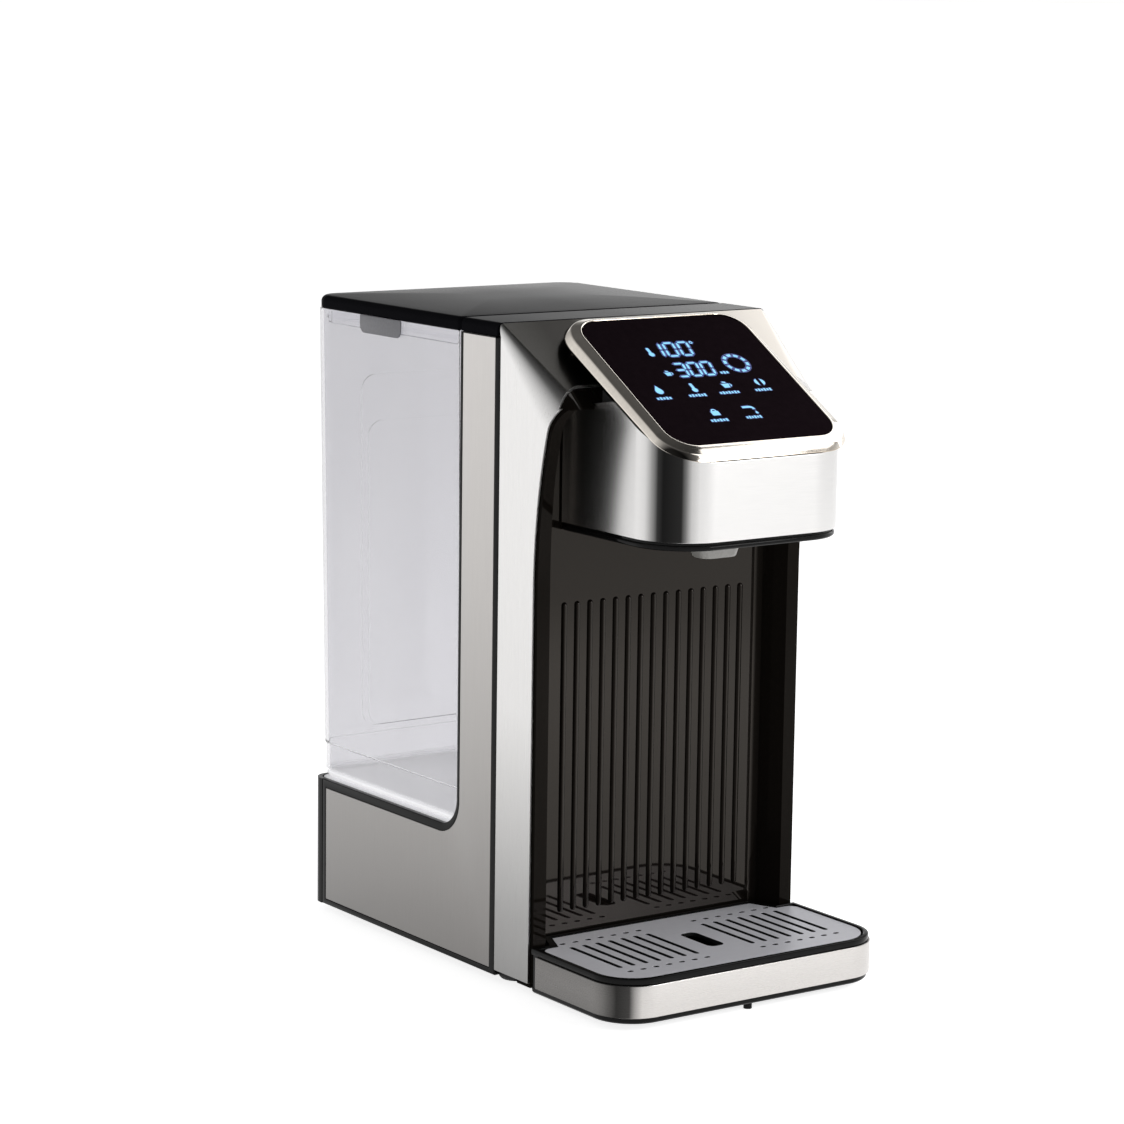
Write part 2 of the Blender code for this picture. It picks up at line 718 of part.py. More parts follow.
def nozzle():
    """Tapered outlet block with its bore."""
    rings = []
    for z, w, d in ((NOZZLE_LOW, 0.0098, 0.0058), (0.2058, 0.0102, 0.0062), (0.2149, 0.0128, 0.0070)):
        rings.append(at_z(rounded(-w, w, NOZZLE_Y - d, NOZZLE_Y + d, (0.004,) * 4, 5), z))
    body = loft("nozzle", rings, GREY)
    neck = rounded(-0.0105, 0.0105, NOZZLE_Y - 0.0055, NOZZLE_Y + 0.0055, (0.0038,) * 4, 5)
    join(body, prism("c", neck, 0.2140, 0.2230, None, CUTTERS))
    join(body, turned("c", [(0.0028, 0.2220), (0.0028, 0.2300)], (0, NOZZLE_Y), None, 20, CUTTERS))
    bore = turned("c", [(0.0022, 0.2040), (0.0022, 0.2310)], (0, NOZZLE_Y), None, 20, CUTTERS)
    return smooth(cut(body, bore), 30)


# ---- Water path ----

def pump():
    """Pump lying along Y: front cover with inlet, housing with outlet, impeller, motor."""
    y = 0.066
    cover = [(0.0022, -0.0120), (0.0034, -0.0120), (0.0034, -0.0020), (0.0170, -0.0020)]
    cover += [(0.0170, 0.0), (0.0022, 0.0)]
    lay_along_y(lathe("pump_cover", cover, (0, 0), WHITE), y, PUMP_X, PUMP_Z)
    shell = [(0.0020, 0.0130), (0.0170, 0.0130), (0.0170, 0.0003), (0.0148, 0.0003)]
    shell += [(0.0148, 0.0110), (0.0020, 0.0110)]
    housing = lathe("pump_housing", shell, (0, 0), WHITE)
    lay_along_y(housing, y, PUMP_X, PUMP_Z)
    spigot = turned("c", [(0.0034, -0.0260), (0.0034, -0.0160)], (0, 0), None, 20, CUTTERS)
    spigot.data.transform(Matrix.Rotation(math.radians(90), 4, "Y"))
    spigot.data.transform(Matrix.Translation((PUMP_X, y + 0.0056, PUMP_Z + 0.0)))
    join(housing, spigot)
    bore = turned("c", [(0.0020, -0.0300), (0.0020, -0.0130)], (0, 0), None, 20, CUTTERS)
    bore.data.transform(Matrix.Rotation(math.radians(90), 4, "Y"))
    bore.data.transform(Matrix.Translation((PUMP_X, y + 0.0056, PUMP_Z + 0.0)))
    smooth(cut(housing, bore))
    motor = [(0.0130, 0.0134), (0.0142, 0.0142), (0.0142, 0.0410), (0.0130, 0.0420), (0.0040, 0.0420)]
    motor += [(0.0040, 0.0440)]
    lay_along_y(turned("pump_motor", motor, (0, 0), BRIGHT), y, PUMP_X, PUMP_Z)
    impeller(y)
    cradle(y)


def impeller(y):
    """Five-vaned impeller; its origin is on the shaft axis."""
    wheel = turned("pump_impeller", [(0.0125, 0.0085), (0.0125, 0.0100)], (0, 0), WHITE)
    hub = turned("c", [(0.0030, 0.0040), (0.0032, 0.0088)], (0, 0), None, 20, CUTTERS)
    join(wheel, hub)
    bm = bmesh.new()
    for k in range(5):
        turn = Matrix.Rotation(2 * math.pi * k / 5, 4, "Z")
        shape = turn @ Matrix.Translation((0.0078, 0, 0.0066)) @ Matrix.Diagonal((0.0088, 0.0012, 0.0044, 1))
        bmesh.ops.create_cube(bm, size=1.0, matrix=shape)
    vanes = place("c", finish_mesh(bm, "c"), None, CUTTERS)
    join(wheel, vanes)
    stub = turned("c", [(0.0015, 0.0095), (0.0015, 0.0126)], (0, 0), None, 16, CUTTERS)
    join(wheel, stub)
    wheel.data.transform(Matrix.Rotation(math.radians(-90), 4, "X"))
    wheel.location = (PUMP_X, y, PUMP_Z)
    smooth(wheel, 30)


def cradle(y):
    """Rubber cradle that holds the motor above the base pan."""
    block = box("pump_cradle", (-0.0150, y + 0.0180, 0.0073), (0.0150, y + 0.0360, 0.0240), RUBBER)
    bed = turned("c", [(0.0145, 0.0), (0.0145, 0.060)], (0, 0), None, 40, CUTTERS)
    return cut(block, lay_along_y(bed, y, PUMP_X, PUMP_Z))


def heater():
    """Upright flow heater behind the bay, its caps, clamp and cutoff."""
    x, y = HEATER_X, HEATER_Y
    r = HEATER_R
    lathe("heater_tube", [(r - 0.0015, 0.090), (r, 0.090), (r, 0.230), (r - 0.0015, 0.230)], (x, y), BRIGHT)
    low = [(0.0022, 0.0700), (0.0034, 0.0700), (0.0034, 0.0830), (r + 0.0018, 0.0850)]
    low += [(r + 0.0018, 0.0960), (r + 0.0003, 0.0960), (r + 0.0003, 0.0897), (0.0022, 0.0897)]
    lathe("heater_cap_lower", low, (x, y), MATTE)
    high = [(radius, 0.320 - z) for radius, z in reversed(low)]
    lathe("heater_cap_upper", high, (x, y), MATTE)
    strap = lathe("heater_clamp", [(r + 0.0003, 0.150), (r + 0.0015, 0.150), (r + 0.0015, 0.162),
                                   (r + 0.0003, 0.162)], (x, y), BRIGHT)
    foot = box("c", (x - 0.0060, y + r + 0.0008, 0.150), (x + 0.0060, -0.0029, 0.162), None, CUTTERS)
    join(strap, foot)
    smooth(strap)
    disc = box("thermal_cutoff", (x + r + 0.0003, y - 0.0060, 0.190), (x + r + 0.0060, y + 0.0060, 0.202), MATTE)
    return disc


def hoses():
    """Silicone hoses from the socket to the pump, the heater and the nozzle."""
    feed = [(0.0080, VALVE_Y, 0.0447), (0.0080, VALVE_Y, 0.0340), (0.0, VALVE_Y + 0.004, 0.0290)]
    feed += [(0.0, 0.0480, PUMP_Z), (0.0, 0.0537, PUMP_Z)]
    tube("hose_feed", feed, 0.0032, SILICONE)
    x = HEATER_X
    riser = [(-0.0263, 0.0716, PUMP_Z), (x, 0.0716, PUMP_Z), (x, 0.0500, PUMP_Z)]
    riser += [(x, HEATER_Y, PUMP_Z), (x, HEATER_Y, 0.0697)]
    tube("hose_riser", riser, 0.0032, SILICONE)
    outlet = [(x, HEATER_Y, 0.2503), (x, HEATER_Y, 0.2600), (x + 0.014, HEATER_Y, 0.2600)]
    outlet += [(0.0, HEATER_Y, 0.2560), (0.0, -0.0600, 0.2560), (0.0, NOZZLE_Y, 0.2560)]
    outlet += [(0.0, NOZZLE_Y, 0.2303)]
    tube("hose_outlet", outlet, 0.0032, SILICONE)


def control_board():
    """Main board on the partition wall."""
    board = box("control_board", (0.0080, -0.0062, 0.100), (0.0680, -0.0046, 0.200), BOARD)
    parts = [((0.014, -0.020, 0.110), (0.034, -0.006, 0.128)), ((0.042, -0.016, 0.112), (0.060, -0.006, 0.126))]
    parts += [((0.016, -0.010, 0.150), (0.036, -0.006, 0.166)), ((0.046, -0.024, 0.150), (0.062, -0.006, 0.185))]
    for lo, hi in parts:
        join(board, box("c", lo, hi, None, CUTTERS))
    for px in (0.012, 0.064):
        for pz in (0.104, 0.196):
            join(board, box("c", (px - 0.002, -0.0050, pz - 0.002), (px + 0.002, -0.0029, pz + 0.002), None, CUTTERS))
    return board


# ---- Tank pieces ----

def tank_ring(z, front, half, rear, r_front, r_rear, inset=0.0):
    """One level of the tank."""
    radii = (max(r_front - inset, 0.0008), max(r_front - inset, 0.0008))
    radii += (max(r_rear - inset, 0.0008), max(r_rear - inset, 0.0008))
    outline = rounded(-half + inset, half - inset, front + inset, rear - inset, radii, 6)
    return at_z(outline, z)


def tank_levels():
    """Outside levels from bottom to top: z, front, half-width, rear."""
    f = TANK_FRONT
    levels = [(TANK_FLOOR, f + 0.0125, TANK_HALF_LOW - 0.0030, TANK_REAR_LOW - 0.0036)]
    levels += [(TANK_FLOOR + 0.0010, f + 0.0079, TANK_HALF_LOW - 0.0012, TANK_REAR_LOW - 0.0016)]
    levels += [(TANK_FLOOR + 0.0037, f + 0.0040, TANK_HALF_LOW - 0.0001, TANK_REAR_LOW - 0.0005)]
    levels += [(TANK_FLOOR + 0.0075, f + 0.0014, TANK_HALF_LOW, TANK_REAR_LOW - 0.0004)]
    levels += [(TANK_FLOOR + 0.0130, f, TANK_HALF_LOW, TANK_REAR_LOW - 0.0004)]
    levels += [(0.0857, f, TANK_HALF_LOW, TANK_REAR_LOW - 0.0004)]
    levels += [(0.0863, f, TANK_HALF_LOW + 0.0004, TANK_REAR_LOW)]
    levels += [(TANK_TOP, f, TANK_HALF_TOP, TANK_REAR_TOP)]
    return levels


def tank_body():
    """Clear open-topped tank with a round hole for its valve."""
    levels = tank_levels()
    rings = [tank_ring(z, f, h, r, 0.0035, TANK_R) for z, f, h, r in levels]
    inner = [tank_ring(z, f, h, r, 0.0035, TANK_R, TANK_WALL) for z, f, h, r in reversed(levels)]
    inner = [ring for ring in inner if ring[0][2] > TANK_FLOOR + 0.0055]
    floor_z = TANK_FLOOR + TANK_WALL
    z, f, h, r = levels[2]
    inner.append(tank_ring(floor_z, f + 0.001, h - 0.0010, r - 0.0010, 0.0035, TANK_R, TANK_WALL))
    tank = loft("tank_body", rings + inner, CLEAR)
    recess = [(-0.0470, 0.088), (0.0470, 0.088), (0.0470, 0.2445), (0.0470, 0.2677)]
    recess += [(-0.0470, 0.2677), (-0.0470, 0.2445)]
    depth = [(0.1301 + (z - 0.0863) * 0.0027 / 0.2168) for x, z in recess]
    bm = bmesh.new()
    inside = [(x, y - 0.0008, z) for (x, z), y in zip(recess, depth)]
    outside = [(x, 0.140, z) for x, z in recess]
    add_loft(bm, [inside, outside])
    cut(tank, place("c", finish_mesh(bm, "c"), None, CUTTERS))
    cut(tank, prisms("c", [circle(0, VALVE_Y, 0.0094, 40)], 0.06, 0.08))
    return smooth(tank, 25)


def tank_valve():
    """Outlet valve in the tank floor: housing, seal, plunger, spring and strainer."""
    centre = (0, VALVE_Y)
    body = [(0.0062, 0.0560), (0.0091, 0.0560), (0.0091, 0.0715), (0.0140, 0.0715)]
    body += [(0.0140, 0.0737), (0.0062, 0.0737)]
    body += [(0.0062, 0.0640), (0.0036, 0.0640), (0.0036, 0.0620), (0.0062, 0.0620)]
    lathe("valve_housing", body, centre, GREY)
    seal = [(0.0094, 0.0600), (0.0116, 0.0600), (0.0116, 0.0630), (0.0094, 0.0630)]
    lathe("valve_seal", seal, centre, RUBBER)
    stem = [(0.0012, 0.0567), (0.0017, 0.0571), (0.0017, 0.0643), (0.0052, 0.0643), (0.0052, 0.0663)]
    stem += [(0.0015, 0.0663), (0.0015, 0.0707)]
    turned("valve_plunger", stem, centre, WHITE, 24)
    spring()
    cage = [(0.0100, 0.0740), (0.0116, 0.0740), (0.0116, 0.0905), (0.0104, 0.0918), (0.0012, 0.0918)]
    cage += [(0.0012, 0.0902), (0.0100, 0.0902)]
    strainer = lathe("strainer", cage, centre, WHITE, 36)
    for turn in range(4):
        slot = box("c", (-0.0012, -0.0200, 0.0765), (0.0012, 0.0200, 0.0880), None, CUTTERS)
        slot.data.transform(Matrix.Rotation(math.radians(45 * turn), 4, "Z"))
        slot.data.transform(Matrix.Translation((0, VALVE_Y, 0)))
        cut(strainer, slot)
    smooth(strainer)


def spring():
    """Coil that closes the valve plunger."""
    turns = 5
    steps = 16
    low = 0.0669
    high = 0.0895
    points = []
    for i in range(turns * steps + 1):
        angle = 2 * math.pi * i / steps
        z = low + (high - low) * i / (turns * steps)
        points.append((0.0030 * math.cos(angle), VALVE_Y + 0.0030 * math.sin(angle), z))
    curve = bpy.data.curves.new("coil", "CURVE")
    curve.dimensions = "3D"
    curve.bevel_depth = 0.0003
    curve.bevel_resolution = 2
    curve.use_fill_caps = True
    spline = curve.splines.new("POLY")
    spline.points.add(len(points) - 1)
    for slot, p in zip(spline.points, points):
        slot.co = (*p, 1.0)
    holder = bpy.data.objects.new("coil_path", curve)
    CUTTERS.objects.link(holder)
    bpy.context.view_layer.update()
    graph = bpy.context.evaluated_depsgraph_get()
    mesh = bpy.data.meshes.new_from_object(holder.evaluated_get(graph))
    bpy.data.objects.remove(holder, do_unlink=True)
    bm = bmesh.new()
    bm.from_mesh(mesh)
    bmesh.ops.remove_doubles(bm, verts=bm.verts, dist=0.00003)
    return smooth(place("valve_spring", finish_mesh(bm, "valve_spring"), BRIGHT), 60)


# ---- Lid pieces ----

def lid_ring(z, inset, grow=0.0):
    """One level of the lid."""
    r = max(LID_R - inset * 0.8, 0.003)
    f = max(0.0030 - inset * 0.5, 0.0010)
    outline = rounded(-HALF_W + inset, HALF_W - inset, 0.0002 + inset, LID_REAR - inset, (f, f, r, r), 6)
    return at_z(outline, z)


def tank_lid():
    """Domed lid with a skirt that drops into the tank."""
    rings = [lid_ring(0.3056, 0.0062), lid_ring(0.2960, 0.0062), lid_ring(0.2960, 0.0042)]
    rings += [lid_ring(LID_LOW, 0.0042), lid_ring(LID_LOW, 0.0), lid_ring(0.3082, 0.0)]
    rings += [lid_ring(0.3091, 0.0004), lid_ring(LID_EDGE, 0.0014), lid_ring(0.3101, 0.010)]
    rings += [lid_ring(0.3108, 0.026), lid_ring(LID_CROWN, 0.046)]
    smooth(loft("tank_lid", rings, GLOSS), 30)


def lid_gasket():
    """Flat gasket round the lid's skirt, inside the tank's rim."""
    rings = [lid_ring(0.2985, 0.0039), lid_ring(0.2985, 0.0036), lid_ring(0.3000, 0.0036)]
    rings.append(lid_ring(0.3000, 0.0039))
    smooth(loft("lid_gasket", rings, SILICONE, closed=True))


def lid_tab(where, sign):
    """Finger tab at the lid's side edge."""
    outline = rounded(0.0504, 0.0865, 0.2946, 0.3031, (0.004, 0.004, 0.0005, 0.0005), 5)
    x0 = sign * 0.0769
    return slab("lid_tab_" + where, outline, x0, x0 + sign * 0.0007, GREY)


# ---- Tray pieces ----

def tray_outline(inset, steps=8):
    """Tray plan: wide in front of the body, narrower inside the bay."""
    half = TRAY_HALF - 0.0003 - inset
    front = TRAY_FRONT + 0.0003 + inset
    r = TRAY_R - inset
    step = -0.0631 - inset
    right = [(half, step), (0.0672 - inset, step), (0.0612 - inset, -0.0497 - inset)]
    left = [(-x, y) for x, y in reversed(right)]
    points = arc(-half + r, front + r, r, 180, 270, steps)
    points += arc(half - r, front + r, r, 270, 360, steps)
    return points + right + left


def drip_tray():
    """Tray body with a recess for its band and pegs under it."""
    levels = [(TRAY_FLOOR, 0.0020), (0.0045, 0.0008), (0.0240, 0.0003), (TRAY_LIP, 0.0009)]
    levels += [(TRAY_LIP, 0.0029), (0.0220, 0.0029), (0.0220, 0.0056), (0.0055, 0.0056)]
    rings = [at_z(tray_outline(inset), z) for z, inset in levels]
    body = loft("drip_tray_body", rings, GLOSS)
    recess_low = 0.0063
    recess_high = 0.0219
    outer = [(-0.10, BAND_REAR + GAP), (-0.10, -0.16), (0.10, -0.16), (0.10, BAND_REAR + GAP)]
    ring = prism("c", outer, recess_low, recess_high, None, CUTTERS)
    inner = tray_outline(0.0010)
    cut(ring, prism("c2", inner, recess_low - 0.005, recess_high + 0.005, None, CUTTERS))
    cut(body, ring)
    spots = [(0.0, -0.1265), (-0.0560, -0.1020), (0.0560, -0.1020), (-0.0520, -0.0580), (0.0520, -0.0580)]
    join(body, prisms("pegs", [circle(x, y, 0.0020, 16) for x, y in spots], 0.0, 0.0045))
    smooth(body, 25)


def tray_band():
    """Steel strip round the front of the tray."""
    half = TRAY_HALF
    r = TRAY_R
    t = 0.0010
    front = TRAY_FRONT
    outer = [(-half, BAND_REAR)] + arc(-half + r, front + r, r, 180, 270, 12)
    outer += arc(half - r, front + r, r, 270, 360, 12) + [(half, BAND_REAR)]
    inner = [(half - t, BAND_REAR)] + arc(half - r, front + r, r - t, 360, 270, 12)
    inner += arc(-half + r, front + r, r - t, 270, 180, 12) + [(-half + t, BAND_REAR)]
    smooth(prism("tray_band", outer + inner, 0.0066, 0.0216, STEEL), 25)


def tray_grate():
    """Slotted steel grate with a finger hole."""
    half = 0.07405
    front = -0.1289
    r = 0.0178
    right = arc(half - 0.0050, -0.0714, 0.0050, 0, 90, 6) + [(0.0640, -0.0664), (0.0580, -0.0529)]
    left = [(-x, y) for x, y in reversed(right)]
    outline = arc(-half + r, front + r, r, 180, 270, 8) + arc(half - r, front + r, r, 270, 360, 8)
    grate = prism("tray_grate", outline + right + left, GRATE_TOP - GRATE_T, GRATE_TOP, BRIGHT)
    holes = []
    for i in range(7):
        for sign in (-1, 1):
            x = sign * (0.0162 + i * 0.00725)
            holes.append(rounded(x - 0.0009, x + 0.0009, -0.1097, -0.0698, (0.00088,) * 4, 3))
            for y in (-0.0635, -0.1165):
                holes.append(rounded(x - 0.0015, x + 0.0015, y - 0.0010, y + 0.0010, (0.00098,) * 4, 3))
    holes.append(rounded(-0.0044, 0.0044, -0.1039, -0.0789, (0.003,) * 4, 4))
    cut(grate, prisms("c", holes, 0.015, 0.030))
    smooth(grate, 30)


base_pan()
feet()
side("left", -1)
side("right", 1)
rear_cover()
front_frame()
bay_liner()
top_cover()
partition_wall()
tank_shelf()
tank_socket()
head()
bezel()
glass_stack()
nozzle()
pump()
heater()
hoses()
control_board()
tank_body()
tank_valve()
tank_lid()
lid_gasket()
lid_tab("left", -1)
lid_tab("right", 1)
drip_tray()
tray_band()
tray_grate()
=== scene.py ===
"""Looks of the countertop hot water dispenser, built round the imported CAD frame.

Metres, +Z up, front towards -Y. Every piece is placed from the frame's own boxes.
"""
import math

import bmesh
import bpy
from mathutils import Matrix, Vector


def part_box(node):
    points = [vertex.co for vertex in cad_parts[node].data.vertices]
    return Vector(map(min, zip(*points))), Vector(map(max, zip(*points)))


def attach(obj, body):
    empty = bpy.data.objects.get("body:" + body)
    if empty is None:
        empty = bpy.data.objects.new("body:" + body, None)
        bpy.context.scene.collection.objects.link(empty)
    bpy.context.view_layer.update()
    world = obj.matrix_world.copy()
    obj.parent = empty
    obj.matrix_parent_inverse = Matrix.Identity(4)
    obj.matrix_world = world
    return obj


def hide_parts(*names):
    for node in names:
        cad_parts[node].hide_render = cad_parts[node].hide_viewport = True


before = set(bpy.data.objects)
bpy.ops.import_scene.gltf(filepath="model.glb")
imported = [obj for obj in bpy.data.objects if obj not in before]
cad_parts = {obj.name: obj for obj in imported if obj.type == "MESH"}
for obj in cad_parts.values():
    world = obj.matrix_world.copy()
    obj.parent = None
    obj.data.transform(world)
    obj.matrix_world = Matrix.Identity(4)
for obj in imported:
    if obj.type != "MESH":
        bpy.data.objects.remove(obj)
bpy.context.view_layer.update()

MM = 0.001
GAP = 0.3 * MM
BESIDE = 0.08
ABOVE = 0.33


# ---- Camera, light and floor ----

CAMERA_AT = (-0.9795, -1.3565, 0.4708)
AZIMUTH = -35.33
ELEVATION = 9.58
ROLL = 0.80
LENS = 113.75


def make_camera():
    """Camera on the left front, a little above the object."""
    a = math.radians(AZIMUTH)
    e = math.radians(ELEVATION)
    r = math.radians(ROLL)
    back = Vector((math.sin(a) * math.cos(e), -math.cos(a) * math.cos(e), math.sin(e)))
    right = Vector((math.cos(a), math.sin(a), 0.0))
    up = back.cross(right)
    x = right * math.cos(r) + up * math.sin(r)
    y = up * math.cos(r) - right * math.sin(r)
    data = bpy.data.cameras.new("Camera")
    data.lens = LENS
    data.sensor_width = 36.0
    data.clip_start = 0.05
    data.clip_end = 50.0
    camera = bpy.data.objects.new("Camera", data)
    turn = Matrix((x, y, back)).transposed().to_4x4()
    camera.matrix_world = Matrix.Translation(CAMERA_AT) @ turn
    bpy.context.scene.collection.objects.link(camera)
    bpy.context.scene.camera = camera


def colour_ramp(tree, source, stops):
    """A ramp over a value; each stop holds a grey or a colour."""
    ramp = tree.nodes.new("ShaderNodeValToRGB")
    elements = ramp.color_ramp.elements
    while len(elements) < len(stops):
        elements.new(0.5)
    for element, (place, value) in zip(elements, stops):
        element.position = place
        colour = value if isinstance(value, tuple) else (value, value, value)
        element.color = (*colour, 1.0)
    tree.links.new(source, ramp.inputs["Fac"])
    return ramp.outputs["Color"]


def one_axis(tree, kind, axis):
    """One axis of the texture coordinates of a kind."""
    coord = tree.nodes.new("ShaderNodeTexCoord")
    split = tree.nodes.new("ShaderNodeSeparateXYZ")
    tree.links.new(coord.outputs[kind], split.inputs[0])
    return split.outputs[axis]


def along(tree, kind, direction):
    """How far texture coordinates of a kind reach along a direction."""
    coord = tree.nodes.new("ShaderNodeTexCoord")
    toward = tree.nodes.new("ShaderNodeVectorMath")
    toward.operation = "DOT_PRODUCT"
    toward.inputs[1].default_value = direction
    tree.links.new(coord.outputs[kind], toward.inputs[0])
    return toward.outputs["Value"]


def from_range(tree, value, low, high):
    """A value mapped from a range to 0 to 1."""
    span = tree.nodes.new("ShaderNodeMapRange")
    span.inputs["From Min"].default_value = low
    span.inputs["From Max"].default_value = high
    tree.links.new(value, span.inputs["Value"])
    return span.outputs["Result"]


def blend(tree, kind, first, second, share=None):
    """Two colours blended in full, or by the share that another output gives."""
    mix = tree.nodes.new("ShaderNodeMixRGB")
    mix.blend_type = kind
    if share is None:
        mix.inputs["Fac"].default_value = 1.0
    else:
        tree.links.new(share, mix.inputs["Fac"])
    tree.links.new(first, mix.inputs["Color1"])
    tree.links.new(second, mix.inputs["Color2"])
    return mix.outputs["Color"]


SKY_BY_HEIGHT = [(0.0, 1.0), (0.16, 1.0), (0.40, 0.20), (0.66, 0.04), (1.0, 0.03)]
GLOW_SIDE = (-0.80, 0.20, -0.55)
GLOW = [(0.06, 0.03), (0.327, 0.10), (0.50, 0.42), (0.60, 0.60), (0.81, 0.90), (0.86, 0.95)]


def make_world():
    """Soft white surroundings, dark overhead, with a broad glow from the left."""
    world = bpy.data.worlds.new("Studio")
    bpy.context.scene.world = world
    world.use_nodes = True
    tree = world.node_tree
    sky = colour_ramp(tree, one_axis(tree, "Generated", "Z"), SKY_BY_HEIGHT)
    side = from_range(tree, along(tree, "Generated", GLOW_SIDE), -1.0, 1.0)
    lighter = blend(tree, "LIGHTEN", sky, colour_ramp(tree, side, GLOW))
    tree.links.new(lighter, tree.nodes["Background"].inputs["Color"])


def area_light(name, place, target, size, power):
    """A rectangular soft light aimed at a point."""
    data = bpy.data.lights.new(name, "AREA")
    data.shape = "RECTANGLE"
    data.size, data.size_y = size
    data.energy = power
    light = bpy.data.objects.new(name, data)
    aim = Vector(target) - Vector(place)
    light.rotation_euler = aim.to_track_quat("-Z", "Y").to_euler()
    light.location = place
    bpy.context.scene.collection.objects.link(light)


def make_lights():
    """Broad lights from the right and from the right front, and a small one over the tray."""
    area_light("Key", (1.05, 0.05, 0.95), (0.10, 0.0, 0.25), (0.9, 1.1), 5.0)
    area_light("Front", (1.05, -1.15, 1.35), (0.0, -0.1, 0.25), (1.3, 1.0), 6.5)
    area_light("Tray", (0.35, -0.75, 0.42), (0.0, -0.10, 0.02), (0.3, 0.3), 2.6)
    bpy.context.scene.view_settings.view_transform = "Standard"


def make_floor():
    """A wide pale floor."""
    bm = bmesh.new()
    bmesh.ops.create_circle(bm, cap_ends=True, segments=96, radius=60.0)
    mesh = bpy.data.meshes.new("Floor")
    bm.to_mesh(mesh)
    bm.free()
    floor = bpy.data.objects.new("Floor", mesh)
    bpy.context.scene.collection.objects.link(floor)
    glow = {"Emission_Color": (1.0, 1.0, 1.0, 1.0), "Emission_Strength": 0.80}
    mesh.materials.append(new_material("Pale floor", (0.80, 0.80, 0.80), 0.0, 0.7, **glow))


# ---- Materials ----

LEFT = (-1.0, 0.0, 0.0)
UP = (0.0, 0.0, 1.0)
CORNER = (-0.62, -0.78, 0.0)
FORWARD = (0.0, -0.98, -0.20)
GRAIN_DEPTH = 0.02 * MM
MOULD_DEPTH = 0.03 * MM
BASE = "Base Color"
GLOSS = "Specular IOR Level"


def shader_of(mat):
    """The material's Principled shader."""
    return mat.node_tree.nodes["Principled BSDF"]


def feed(mat, output, socket):
    """Links an output to a socket of the shader."""
    mat.node_tree.links.new(output, shader_of(mat).inputs[socket])


def feeding(mat, socket=BASE):
    """The output that feeds a socket of the shader."""
    return shader_of(mat).inputs[socket].links[0].from_socket


def new_material(name, colour, metallic, roughness, **values):
    """A Principled material; extra values go straight on the shader's sockets."""
    mat = bpy.data.materials.new(name)
    mat.use_nodes = True
    shader = shader_of(mat)
    shader.inputs[BASE].default_value = (*colour, 1.0)
    shader.inputs["Metallic"].default_value = metallic
    shader.inputs["Roughness"].default_value = roughness
    for key, value in values.items():
        shader.inputs[key.replace("_", " ")].default_value = value
    return mat


def add_noise(mat, scale, detail):
    """Noise stretched by a scale along each axis, in cycles per metre."""
    tree = mat.node_tree
    coord = tree.nodes.new("ShaderNodeTexCoord")
    mapping = tree.nodes.new("ShaderNodeMapping")
    mapping.inputs["Scale"].default_value = scale
    noise = tree.nodes.new("ShaderNodeTexNoise")
    noise.inputs["Scale"].default_value = 1.0
    noise.inputs["Detail"].default_value = detail
    tree.links.new(coord.outputs["Object"], mapping.inputs["Vector"])
    tree.links.new(mapping.outputs["Vector"], noise.inputs["Vector"])
    return noise.outputs["Fac"]


def add_ramp(mat, source, stops, socket):
    """Maps a value through stops on to a socket of the shader."""
    ramp = colour_ramp(mat.node_tree, source, stops)
    feed(mat, ramp, socket)
    return ramp


def add_bump(mat, source, strength, distance):
    """Bump from a value."""
    tree = mat.node_tree
    bump = tree.nodes.new("ShaderNodeBump")
    bump.inputs["Strength"].default_value = strength
    bump.inputs["Distance"].default_value = distance
    tree.links.new(source, bump.inputs["Height"])
    feed(mat, bump.outputs["Normal"], "Normal")


def facing_of(mat, direction):
    """How far the surface faces a direction: 1 square on, 0 or less when turned away."""
    return along(mat.node_tree, "Normal", direction)


def height_of(mat):
    """Height in metres."""
    return one_axis(mat.node_tree, "Object", "Z")


def across(mat):
    """Place from left to right, from 0 to 1."""
    return from_range(mat.node_tree, one_axis(mat.node_tree, "Object", "X"), -BESIDE, BESIDE)


def multiply(mat, source, stops, socket=BASE):
    """Multiplies what feeds a socket by a ramp over a value."""
    ramp = colour_ramp(mat.node_tree, source, stops)
    feed(mat, blend(mat.node_tree, "MULTIPLY", feeding(mat, socket), ramp), socket)


def tinted(colour, factor):
    """A colour scaled by a factor."""
    return tuple(min(c * factor, 1.0) for c in colour)


def brushed(name, colour, scale, rough, bump=0.05, metallic=1.0):
    """Brushed metal whose grain runs along the axis with the smallest scale."""
    mat = new_material(name, colour, metallic, 0.28)
    grain = add_noise(mat, scale, 5.0)
    add_ramp(mat, grain, [(0.3, rough[0]), (0.7, rough[1])], "Roughness")
    add_ramp(mat, grain, [(0.25, tinted(colour, 0.95)), (0.75, tinted(colour, 1.04))], BASE)
    add_bump(mat, grain, bump, GRAIN_DEPTH)
    return mat


def paint_slope_reflection(mat):
    """Painted reflection: on what faces up the steel colour gives way to a tone that is darkest near the
    left shoulder and lightens to the right.
    """
    steel = feeding(mat)
    top = colour_ramp(mat.node_tree, across(mat), PAINTED_SLOPE_REFLECTION)
    turn = colour_ramp(mat.node_tree, facing_of(mat, UP), PAINTED_SLOPE_SHARE)
    feed(mat, blend(mat.node_tree, "MIX", steel, top, turn), BASE)


